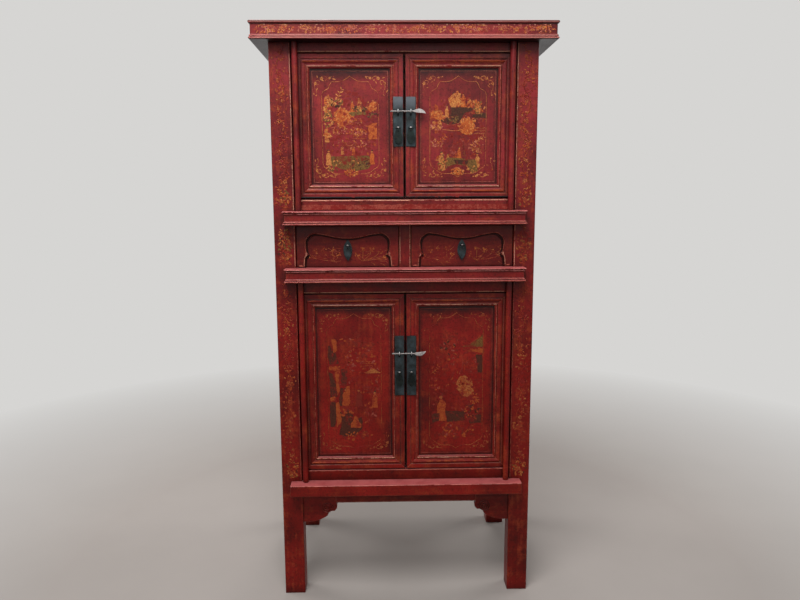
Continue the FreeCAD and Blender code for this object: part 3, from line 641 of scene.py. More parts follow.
@dataclass(frozen=True)
class Easel:
    """Upright field in the frame: its middle and the way that its right-hand side points."""

    middle: Vector
    right: Vector = Vector((1.0, 0.0, 0.0))

    def matrix(self) -> Matrix:
        """Millimetres on the field turned into metres in the frame."""
        turn = Matrix((self.right, UP, self.right.cross(UP))).transposed().to_4x4()
        return Matrix.Translation(self.middle) @ turn @ Matrix.Scale(MILLIMETRE, 4)


class Front:
    """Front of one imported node's box, with its half sizes in millimetres."""

    def __init__(self, node: str) -> None:
        """Measure a node."""
        self.low, self.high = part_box(node)
        self.middle = (self.low + self.high) / 2
        self.half_x = (self.high.x - self.low.x) / 2 / MILLIMETRE
        self.half_z = (self.high.z - self.low.z) / 2 / MILLIMETRE

    def easel(self, depth: float = 0.0, level: float | None = None) -> Easel:
        """Field on the front or some millimetres behind it, at the middle or at a level in metres."""
        z = self.middle.z if level is None else level
        return Easel(Vector((self.middle.x, self.low.y + depth * MILLIMETRE, z)))


class GiltBrush:
    """Raised strokes, dabs and pads on one upright field, drawn in millimetres from its middle."""

    dab_sides, dab_radius, dab_top = 8, 0.5, 0.33
    corner_steps = 3
    skin = 0.12
    coat = 0.012
    turns = 8
    sink = 0.05
    rag_step = 9.0
    rag = 1.3

    def __init__(self, name: str, seed: int = 0, relief: float = 0.3) -> None:
        """Start an empty drawing.

        Args:
            name: Name of the piece that the drawing becomes.
            seed: Start of the drawing's own chance.
            relief: Height of a stroke against its half width.
        """
        self.name = name
        self.relief = relief
        self.laid = 0
        self.pressed = 0
        self.tones: list[Tone] = []
        self.chance = random.Random(seed)
        self.solid = bmesh.new()
        self.lines = bpy.data.curves.new(name + "_lines", "CURVE")
        self.lines.dimensions = "3D"
        self.lines.twist_mode = "Z_UP"
        self.lines.bevel_depth = 1.0
        self.lines.bevel_resolution = 0
        self.lines.resolution_u = 4
        self.lines.use_fill_caps = True

    def top(self) -> float:
        """Height of the newest layer of paint."""
        return self.laid * self.coat + self.skin

    def stroke(self, route: list[Point], width: float, tone: Tone, tip: float = 0.35,
               depth: float | None = None) -> None:
        """Draw one smooth line.

        Args:
            route: Control points of the line.
            width: Width at its middle.
            tone: Paint.
            tip: Share of the width that is left at both ends.
            depth: How far behind the field the line lies; on top of the paint if left out.
        """
        if depth is None:
            depth = self.relief * width / 2 - self.top() - self.coat if self.laid else 0.0
        spline = self.lines.splines.new("NURBS")
        spline.points.add(len(route) - 1)
        for index, (point, (x, y)) in enumerate(zip(spline.points, route)):
            swell = math.sin(math.pi * index / (len(route) - 1))
            point.co = (x, y, -depth / self.relief, 1.0)
            point.radius = width / 2 * (tip + (1 - tip) * swell)
        spline.order_u = min(3, len(route))
        spline.use_endpoint_u = True
        self.tones.append(tone)

    def rule(self, start: Point, end: Point, width: float, tone: Tone, depth: float | None = None) -> None:
        """Draw one straight even line."""
        self.stroke([start, end], width, tone, 1.0, depth)

    def box_lines(self, half: Point, width: float, tones: tuple[Tone, Tone], depth: float = 0.0) -> None:
        """Draw a rectangle round the middle.

        Args:
            half: Half width and half height.
            width: Width of the lines.
            tones: Paint of the level lines and of the upright ones.
            depth: How far behind the field the lines lie.
        """
        x, y = half
        for way in (-1, 1):
            self.rule((-x, way * y), (x, way * y), width, tones[0], depth)
            self.rule((way * x, -y), (way * x, y), width, tones[1], depth)

    def dab(self, x: float, y: float, length: float, width: float, turn: float, tone: Tone,
            lift: float = 0.0) -> None:
        """Press one raised oval dab.

        Args:
            x: Middle across.
            y: Middle up.
            length: Long axis.
            width: Short axis.
            turn: Turn of the long axis.
            tone: Paint.
            lift: Rise above other paint.
        """
        self.pressed = (self.pressed + 1) % self.turns
        top = self.top() + lift + self.coat * self.pressed / self.turns
        base = min(lift, 0.0) - self.sink
        place = (Matrix.Translation((x, y, (top + base) / 2)) @ Matrix.Rotation(turn, 4, "Z")
                 @ Matrix.Diagonal((length, width, top - base, 1.0)))
        made = bmesh.ops.create_cone(self.solid, cap_ends=True, segments=self.dab_sides,
                                     radius1=self.dab_radius, radius2=self.dab_top, depth=1.0, matrix=place)
        for face in {face for vertex in made["verts"] for face in vertex.link_faces}:
            face.material_index = tone.value

    def ragged(self, corners: list[Point]) -> list[Point]:
        """Outline with uneven points added along its sides."""
        outline = []
        for (x, y), (next_x, next_y) in zip(corners, corners[1:] + corners[:1]):
            outline.append((x, y))
            pieces = int(math.hypot(next_x - x, next_y - y) / self.rag_step)
            for index in range(1, pieces):
                share = index / pieces
                outline.append((x + (next_x - x) * share + self.chance.uniform(-self.rag, self.rag),
                                y + (next_y - y) * share + self.chance.uniform(-self.rag, self.rag)))
        return outline

    def pad(self, corners: list[Point], tone: Tone, soften: float) -> None:
        """Lay one flat patch with rounded corners.

        Args:
            corners: Outline of the patch.
            tone: Paint.
            soften: Length of each corner that is rounded off.
        """
        patch = bmesh.new()
        self.laid += 1
        patch.faces.new([patch.verts.new((x, y, -self.sink)) for x, y in self.ragged(corners)])
        bmesh.ops.bevel(patch, geom=list(patch.verts), offset=soften, offset_type="OFFSET",
                        segments=self.corner_steps, profile=0.5, affect="VERTICES", material=-1,
                        clamp_overlap=True)
        grown = bmesh.ops.extrude_face_region(patch, geom=list(patch.faces), use_keep_orig=True)
        tops = [item for item in grown["geom"] if isinstance(item, bmesh.types.BMVert)]
        bmesh.ops.translate(patch, verts=tops, vec=(0.0, 0.0, self.top() + self.sink))
        for face in patch.faces:
            face.material_index = tone.value
        self.absorb(patch)

    def absorb(self, other: bmesh.types.BMesh) -> None:
        """Take another body into the drawing."""
        held = bpy.data.meshes.new(self.name + "_held")
        other.to_mesh(held)
        other.free()
        self.solid.from_mesh(held)
        bpy.data.meshes.remove(held)

    def hang(self, easel: Easel, materials: list[bpy.types.Material], body: str = "carcass",
             slot: str = "red_lacquer") -> None:
        """Turn the drawing into one piece on its field.

        Args:
            easel: Field that the drawing lies on.
            materials: Materials in the order of Tone.
            body: Body that it rides on.
            slot: Not used.
        """
        for material in materials:
            self.lines.materials.append(material)
        for spline, tone in zip(self.lines.splines, self.tones):
            spline.material_index = min(tone.value, len(materials) - 1)
        holder = bpy.data.objects.new(self.name + "_lines", self.lines)
        drawn = bpy.data.meshes.new_from_object(holder)
        drawn.transform(Matrix.Diagonal((1.0, 1.0, self.relief, 1.0)))
        self.solid.from_mesh(drawn)
        bpy.data.objects.remove(holder)
        bpy.data.meshes.remove(drawn)
        bpy.data.curves.remove(self.lines)
        bmesh.ops.transform(self.solid, matrix=easel.matrix(), verts=self.solid.verts)
        bmesh.ops.recalc_face_normals(self.solid, faces=self.solid.faces)
        mesh = bpy.data.meshes.new(self.name)
        self.solid.to_mesh(mesh)
        self.solid.free()
        for material in materials:
            mesh.materials.append(material)
        piece = bpy.data.objects.new(self.name, mesh)
        bpy.context.scene.collection.objects.link(piece)
        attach(piece, body)
        LOG.info("%s: %d faces on %s", self.name, len(mesh.polygons), body)


class GardenBrush(GiltBrush):
    """Brush that knows the gilder's stock of garden motifs, drawn in shares of their size."""

    petal_reach, petal_length, petal_width, eye_size = 0.29, 0.50, 0.36, 0.22
    leaf_width = 0.34
    stem_line, stem_steps = 1.5, 4
    vein_line = 1.4
    tile_line, eave_line, ridge_line = 1.2, 2.2, 2.6
    fence_line = 1.3
    cloud_line = 1.5
    ripple_line = 1.4
    scroll_line = 2.2
    vine_line, vine_steps = 1.7, 6
    rock_shape = ((-0.50, 0.0), (-0.42, 0.38), (-0.22, 0.60), (-0.10, 1.0), (0.16, 0.86), (0.26, 0.50),
                  (0.50, 0.26), (0.46, 0.0))
    robe_shape = ((-0.17, 0.0), (0.20, 0.0), (0.15, 0.30), (0.14, 0.56), (0.06, 0.74), (-0.06, 0.74),
                  (-0.15, 0.58), (-0.12, 0.30))
    arm_route = (0.02, 0.62), (0.20, 0.50), (0.30, 0.58)
    fold_route = (-0.04, 0.70), (0.04, 0.36), (-0.02, 0.02)
    belt_route = (-0.13, 0.42), (0.0, 0.38), (0.14, 0.43)
    roof_shape = ((-0.58, 0.22), (-0.50, 0.18), (-0.20, 0.72), (-0.14, 1.0), (0.14, 1.0), (0.20, 0.72),
                  (0.50, 0.18), (0.58, 0.22), (0.46, 0.0), (-0.46, 0.0))
    eave_route = (-0.60, 0.26), (-0.40, 0.0), (0.40, 0.0), (0.60, 0.26)
    ripple_route = (0, 0), (10, 3), (22, -1), (34, 2)

    def near(self, value: float, share: float = 0.2) -> float:
        """Value changed a little by chance."""
        return value * self.chance.uniform(1 - share, 1 + share)

    def fitted(self, shape: Iterable[Point], x: float, y: float, wide: float, tall: float) -> list[Point]:
        """Shape given in shares, set on a point."""
        return [(x + wide * across, y + tall * up) for across, up in shape]

    def blossom(self, x: float, y: float, size: float, tone: Tone = GOLD, petals: int = 5) -> None:
        """Press a flower of oval petals with a dark eye."""
        self.laid += 1
        start = self.chance.uniform(0, math.tau)
        reach, eye = size * self.petal_reach, size * self.eye_size
        for index in range(petals):
            turn = start + math.tau * index / petals
            self.dab(x + reach * math.cos(turn), y + reach * math.sin(turn), size * self.petal_length,
                     size * self.petal_width, turn, tone)
        self.dab(x, y, eye, eye, 0.0, UMBER, self.coat)

    def leaf(self, x: float, y: float, length: float, turn: float, tone: Tone) -> None:
        """Press one leaf that starts at a point."""
        self.dab(x + length / 2 * math.cos(turn), y + length / 2 * math.sin(turn), length,
                 length * self.leaf_width, turn, tone)

    def sprig(self, x: float, y: float, turn: float, length: float, tone: Tone, leaf: Tone,
              bend: float = 0.5) -> None:
        """Draw a bent stem with leaves on both sides.

        Args:
            x: Foot of the stem across.
            y: Foot of the stem up.
            turn: Way that the stem sets out.
            length: Length of the stem.
            tone: Paint of the stem.
            leaf: Paint of the leaves.
            bend: Turn that the stem makes along its length.
        """
        step = length / self.stem_steps
        route = [(x, y)]
        for index in range(self.stem_steps):
            x += step * math.cos(turn)
            y += step * math.sin(turn)
            route.append((x, y))
            way = 1 if index % 2 else -1
            self.leaf(x, y, self.near(length * 0.24), turn + way * 0.9, leaf)
            self.leaf(x, y, self.near(length * 0.20), turn - way * 1.1, leaf)
            turn += bend / self.stem_steps
        self.stroke(route, self.stem_line, tone, 0.6)

    def foliage(self, x: float, y: float, across: float, tall: float, count: int, tones: tuple[Tone, ...],
                size: float) -> None:
        """Scatter short dabs over an oval crown.

        Args:
            x: Middle of the crown across.
            y: Middle of the crown up.
            across: Width of the crown.
            tall: Height of the crown.
            count: Number of dabs.
            tones: Paints to choose from.
            size: Length of a dab.
        """
        self.laid += 1
        for _ in range(count):
            reach = math.sqrt(self.chance.random())
            turn = self.chance.uniform(0, math.tau)
            self.dab(x + across / 2 * reach * math.cos(turn), y + tall / 2 * reach * math.sin(turn),
                     self.near(size, 0.35), self.near(size * 0.55, 0.3), self.chance.uniform(0, math.pi),
                     self.chance.choice(tones))

    def rock(self, x: float, y: float, wide: float, tall: float, tone: Tone, vein: Tone) -> None:
        """Lay a craggy rock that stands on a point, with pale veins."""
        shape = [(self.near(across, 0.1), up) for across, up in self.rock_shape]
        self.pad(self.fitted(shape, x, y, wide, tall), tone, wide * 0.06)
        for across in (-0.26, 0.02, 0.24):
            route = (across, 0.08), (across + 0.06, 0.34), (across - 0.06, 0.56)
            self.stroke(self.fitted(route, x, y, wide, tall), self.vein_line, vein, 0.3)

    def figure(self, x: float, y: float, tall: float, robe: Tone, facing: int) -> None:
        """Paint one small robed figure, plain of face.

        Args:
            x: Middle of the hem across.
            y: Hem.
            tall: Height of the figure.
            robe: Paint of the robe.
            facing: Way that it faces, 1 for right and -1 for left.
        """
        wide = facing * tall
        self.pad(self.fitted(self.robe_shape, x, y, wide, tall), robe, tall * 0.04)
        lines = ((self.arm_route, 0.09, robe, 0.5), (self.fold_route, 0.035, UMBER, 0.4),
                 (self.belt_route, 0.05, UMBER, 0.6))
        for route, width, tone, tip in lines:
            self.stroke(self.fitted(route, x, y, wide, tall), tall * width, tone, tip)
        self.dab(x + wide * 0.02, y + tall * 0.82, tall * 0.14, tall * 0.13, 0.0, GOLD, self.coat)
        self.dab(x - wide * 0.01, y + tall * 0.90, tall * 0.14, tall * 0.10, 0.2, UMBER, 2 * self.coat)

    def roof(self, x: float, y: float, wide: float, tall: float, tone: Tone, ridge: Tone) -> None:
        """Lay a tiled roof with lifted eaves over a point."""
        self.pad(self.fitted(self.roof_shape, x, y, wide, tall), tone, wide * 0.02)
        for across in (-0.36, -0.22, -0.08, 0.08, 0.22, 0.36):
            route = (across, 0.06), (across * 0.62, 0.55), (across * 0.38, 0.96)
            self.stroke(self.fitted(route, x, y, wide, tall), self.tile_line, ridge, 0.6)
        self.stroke(self.fitted(self.eave_route, x, y, wide, tall), self.eave_line, ridge, 0.7)
        self.rule((x - wide * 0.17, y + tall), (x + wide * 0.17, y + tall), self.ridge_line, ridge)

    def fence(self, x: float, y: float, wide: float, tall: float, bays: int, tone: Tone) -> None:
        """Draw a low garden fence from its lower left corner."""
        for level in (0.0, 0.62, 1.0):
            self.rule((x, y + tall * level), (x + wide, y + tall * level), self.fence_line, tone)
        for index in range(bays + 1):
            across = x + wide * index / bays
            self.rule((across, y), (across, y + tall), self.fence_line, tone)

    def cloud(self, x: float, y: float, wide: float, tone: Tone) -> None:
        """Draw a drifting cloud of three curled lines."""
        for drop, start, end in ((0.0, -0.5, 0.30), (-0.12, -0.34, 0.5), (-0.24, -0.2, 0.36)):
            route = ((start, 0.0), (start + 0.16, 0.10), ((start + end) / 2, 0.0), (end - 0.12, 0.06),
                     (end, 0.0), (end - 0.08, -0.06))
            self.stroke(self.fitted(route, x, y + wide * drop, wide, wide), self.cloud_line, tone, 0.5)

    def ripple(self, x: float, y: float, tone: Tone) -> None:
        """Draw one ripple of water from its left end."""
        self.stroke(self.fitted(self.ripple_route, x, y, 1, 1), self.ripple_line, tone, 0.5)

    def scroll(self, route: list[Point], tone: Tone, bud: float = 5.0) -> None:
        """Draw one curled line that ends in a bud."""
        self.stroke(route, self.scroll_line, tone, 0.5)
        self.dab(*route[-1], bud, bud * 0.8, 0.4, tone, self.coat)

    def vine(self, low: float, high: float, sway: float, period: float, tone: Tone, leaf: Tone,
             flower: Tone) -> None:
        """Draw a climbing vine about the upright middle line.

        Args:
            low: Lower end.
            high: Upper end.
            sway: Swing to both sides.
            period: Rise of one whole swing.
            tone: Paint of the stem.
            leaf: Paint of the leaves.
            flower: Paint of the flowers.
        """
        steps = max(4, round((high - low) / period * self.vine_steps))
        start = self.chance.uniform(0, math.tau)
        route = []
        for index in range(steps + 1):
            y = low + (high - low) * index / steps
            x = sway * math.sin(start + math.tau * (y - low) / period)
            route.append((x, y))
            side = -1 if x > 0 else 1
            if index % 3 == 1:
                self.blossom(x + side * sway * 0.9, y, self.near(13.0), flower)
            else:
                self.leaf(x, y, self.near(10.0), math.pi / 2 - side * self.chance.uniform(0.5, 1.1), leaf)
                self.leaf(x, y, self.near(8.0), math.pi / 2 + side * self.chance.uniform(0.7, 1.4), leaf)
        self.stroke(route, self.vine_line, tone, 0.8)

    def paint(self, picture: Picture) -> None:
        """Paint rows of motifs in order, each row by the method that it names."""
        for motif, rows in picture:
            for row in rows:
                getattr(self, motif)(*row)


@dataclass(frozen=True)
class PhotoCamera:
    """Camera at the photograph's viewing place, for a frame of 800 by 600."""

    place: Vector = Vector((-0.0588, -2.3422, 1.3003))
    yaw: float = math.radians(1.2513)
    pitch: float = math.radians(8.706)
    roll: float = math.radians(-0.291)
    focal_pixels: float = 679.9
    frame_width: float = 800.0
    centre_x: float = 401.0

    def build(self) -> None:
        """Make the camera and hand it to the scene."""
        data = bpy.data.cameras.new("photo_camera")
        data.lens = data.sensor_width * self.focal_pixels / self.frame_width
        data.shift_x = (self.frame_width / 2 - self.centre_x) / self.frame_width
        ahead = Vector((math.sin(self.yaw) * math.cos(self.pitch), math.cos(self.yaw) * math.cos(self.pitch),
                        -math.sin(self.pitch)))
        right = Vector((math.cos(self.yaw), -math.sin(self.yaw), 0.0))
        up = right.cross(ahead)
        turn, lean = math.cos(self.roll), math.sin(self.roll)
        right, up = right * turn + up * lean, up * turn - right * lean
        camera = bpy.data.objects.new("photo_camera", data)
        axes = Matrix((right, up, -ahead)).transposed().to_4x4()
        camera.matrix_world = Matrix.Translation(self.place) @ axes
        bpy.context.scene.collection.objects.link(camera)
        bpy.context.scene.camera = camera


@dataclass(frozen=True)
class Lamp:
    """One square soft lamp: where it hangs, the point that it faces, its side in metres and its watts."""

    name: str
    place: tuple[float, float, float]
    aim: tuple[float, float, float]
    size: float
    power: float

    def build(self) -> None:
        """Hang the lamp, out of the camera's sight."""
        data = bpy.data.lights.new(self.name, "AREA")
        data.size = self.size
        data.energy = self.power
        thing = bpy.data.objects.new(self.name, data)
        thing.location = self.place
        thing.rotation_euler = (Vector(self.aim) - Vector(self.place)).to_track_quat("-Z", "Y").to_euler()
        thing.visible_camera = False
        bpy.context.scene.collection.objects.link(thing)


@dataclass(frozen=True)
class Studio:
    """Pale floor that fades into a pale room, with soft lamps on all sides."""

    floor_half: float = 40.0
    paper: Colour = pigment(162, 155, 150)
    paper_shade: float = 0.04
    paper_noise: Point = (3.0, 3.0)
    paper_stops: Point = (0.3, 0.7)
    paper_rough: float = 0.9
    room: Colour = pigment(214, 213, 211)
    fade: Point = (1.2, 3.0)
    air: float = 0.10
    lamps: tuple[Lamp, ...] = (
        Lamp("key_lamp", (-0.45, -1.55, 3.35), (0.0, -0.25, 1.2), 1.4, 88.0),
        Lamp("fill_lamp", (0.2, -3.6, 2.7), (0.0, -0.2, 1.4), 2.2, 20.0),
        Lamp("left_lamp", (-2.8, 0.9, 2.4), (0.0, 0.0, 1.0), 1.6, 45.0),
        Lamp("right_lamp", (2.8, 0.9, 2.4), (0.0, 0.0, 1.0), 1.6, 45.0),
        Lamp("back_lamp", (0.0, 3.0, 2.8), (0.0, 0.25, 1.1), 1.8, 60.0),
    )

    def lay_floor(self) -> None:
        """Lay the floor, whose far parts show the room's colour."""
        body = bmesh.new()
        bmesh.ops.create_grid(body, x_segments=1, y_segments=1, size=self.floor_half)
        mesh = bpy.data.meshes.new("studio_floor")
        body.to_mesh(mesh)
        body.free()
        sheet = ShaderSheet("studio_paper")
        place = sheet.place()
        shade = mixed(self.paper, BLACK, self.paper_shade)
        cloud = sheet.noise(place, *self.paper_noise)
        colour = sheet.ramp(cloud, list(zip(self.paper_stops, (shade, self.paper))))
        away = sheet.add("VectorMath", {"operation": "LENGTH"}, Vector=place).outputs["Value"]
        far = sheet.span(away, *self.fade)
        mesh.materials.append(sheet.dress(
            Base_Color=sheet.blend(far, colour, BLACK), Roughness=self.paper_rough, Specular_IOR_Level=0.0,
            Emission_Color=self.room, Emission_Strength=sheet.calc("MULTIPLY", sheet.seen(), far)))
        thing = bpy.data.objects.new("studio_floor", mesh)
        bpy.context.scene.collection.objects.link(thing)

    def build(self) -> None:
        """Set floor, lamps, air and the view's curve."""
        self.lay_floor()
        for lamp in self.lamps:
            lamp.build()
        world = bpy.data.worlds.new("studio_air")
        world.use_nodes = True
        sheet = NodeSheet(world.node_tree)
        sky = world.node_tree.nodes["Background"]
        seen = sheet.seen()
        sheet.put(sky, "Color", sheet.blend(seen, WHITE, self.room))
        sheet.put(sky, "Strength", sheet.span(seen, 0.0, 1.0, self.air, 1.0))
        bpy.context.scene.world = world
        bpy.context.scene.view_settings.view_transform = "Standard"


@dataclass
class Carcass:
    """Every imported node, given its finish by its slot and the way that its wood runs."""

    upright_words: tuple[str, ...] = ("post", "stiles", "panel", "muntin")
    deep_words: tuple[str, ...] = ("side_rails", "side_aprons", "ends", "drawer_box", "bearers", "guides")
    # Pale lines on the crests of the top's and belts' beads: rubbing and painted highlight
    top_proud: Proud = Proud((0.449, 0.44685), (0.294, 0.29185))
    top_edge: Colour = pigment(206, 140, 128)
    top_edge_wear: float = 0.55
    top_dust_and_top_light: float = 0.42
    top_rim_from: float = 1.7948
    # Half width of the top beyond which the overhang shows the painted grey reflection
    underside_from: float = 0.398
    belt_proud: Proud = Proud((0.369, 0.3658), (0.291, 0.2878))
    belt_edge_wear: float = 0.4
    post_rubbing: float = 0.8
    door_rubbing: float = 0.9
    door_dust_and_top_light: float = 0.16
    panel_tongue: float = 0.007
    # Panels darken more in their hollows and under the frame: painted shadow
    panel_shadow_from: float = 0.60
    panel_shadow_reach: float = 0.05
    # Darker reds of the drawer fronts: painted shade of the belt above them, with no painted reflection
    drawer_shaded_reds: tuple[Colour, ...] = (pigment(64, 14, 13), pigment(100, 22, 20), pigment(126, 30, 29))
    leaf_blacks: tuple[Colour, ...] = (pigment(11, 15, 14), pigment(34, 43, 40))
    pin_head_from: float = 0.024
    eye_front: float = 0.2556
    door_barrel_front: float = 0.2562
    drawer_barrel_front: float = 0.2499
    made: dict[Finish, bpy.types.Material] = field(default_factory=dict)

    def grain_of(self, node: str) -> Grain:
        """Way that a node's wood runs."""
        if any(word in node for word in self.deep_words):
            return Grain.DEEP
        if any(word in node for word in self.upright_words):
            return Grain.UPRIGHT
        return Grain.ACROSS

    def sunk_field(self, node: str) -> tuple[float, float, float, float]:
        """Middle and half sizes of a door panel as its frame leaves it."""
        low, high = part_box(node)
        middle, half = (low + high) / 2, (high - low) / 2
        return middle.x, middle.z, half.x - self.panel_tongue, half.z - self.panel_tongue

    def lacquer_of(self, node: str) -> LacquerFinish:
        """Lacquer of one node, by the place that it has on the cabinet."""
        grain = self.grain_of(node)
        way = "lacquer_" + grain.name.lower()
        if node.startswith("top_"):
            return LacquerFinish("top_" + way, grain, edge=self.top_edge, edge_wear=self.top_edge_wear,
                                 proud=self.top_proud, dust_and_top_light=self.top_dust_and_top_light, rim_from=self.top_rim_from,
                                 underside_from=self.underside_from)
        if node in ("upper_belt", "lower_belt"):
            return LacquerFinish("belt_lacquer", grain, edge_wear=self.belt_edge_wear, proud=self.belt_proud)
        if node.endswith("post"):
            return LacquerFinish("post_lacquer", grain, rubbing=self.post_rubbing)
        if node.endswith("door_panel"):
            return LacquerFinish(node + "_lacquer", grain, dirt_and_shade_from=self.panel_shadow_from,
                                 dirt_and_shade_reach=self.panel_shadow_reach, sunk_field=self.sunk_field(node))
        if node.endswith(("door_rails", "door_stiles")):
            return LacquerFinish("door_" + way, grain, rubbing=self.door_rubbing, dust_and_top_light=self.door_dust_and_top_light)
        if node.endswith("drawer_front"):
            # Drawer fronts take the darker reds in both sets: painted shade
            return LacquerFinish("drawer_lacquer", grain, *self.drawer_shaded_reds, *self.drawer_shaded_reds)
        return LacquerFinish(way, grain)

    def finish_of(self, node: str, slot: str) -> Finish:
        """Finish of one node."""
        if slot == "inside_wood":
            grain = self.grain_of(node)
            return SoftwoodFinish("softwood_" + grain.name.lower(), grain)
        if slot == "pin_steel":
            return SteelFinish("pin_steel", head_from=self.pin_head_from)
        if node.endswith("lock_plate"):
            return IronFinish("lock_plate_iron", self.eye_front)
        if node.endswith("pendant"):
            return IronFinish("door_leaf_iron", self.door_barrel_front, *self.leaf_blacks)
        if slot == "black_iron":
            return IronFinish("drawer_iron", self.drawer_barrel_front)
        return self.lacquer_of(node)

    def material(self, node: str, slot: str) -> bpy.types.Material:
        """Material of a node's finish, made once for all nodes that share it."""
        finish = self.finish_of(node, slot)
        if finish not in self.made:
            self.made[finish] = finish.material()
        return self.made[finish]

    def dress(self) -> None:
        """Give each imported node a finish."""
        for row in frame["record"]["subparts"]:
            node = row["node"]
            material = self.material(node, row["material_slot"])
            mesh = frame["nodes"][node].data
            mesh.materials.clear()
            mesh.materials.append(material)
            LOG.info("%s: %s", node, material.name)


class Garden(Enum):
    """Pictures on the four doors, by the place of the door."""

    TERRACE = ("upper", "left")
    RIVERBANK = ("upper", "right")
    COURTYARD = ("lower", "left")
    EAVES = ("lower", "right")

    def door(self) -> str:
        """Name of the door that carries the picture."""
        return "%s_%s_door" % self.value


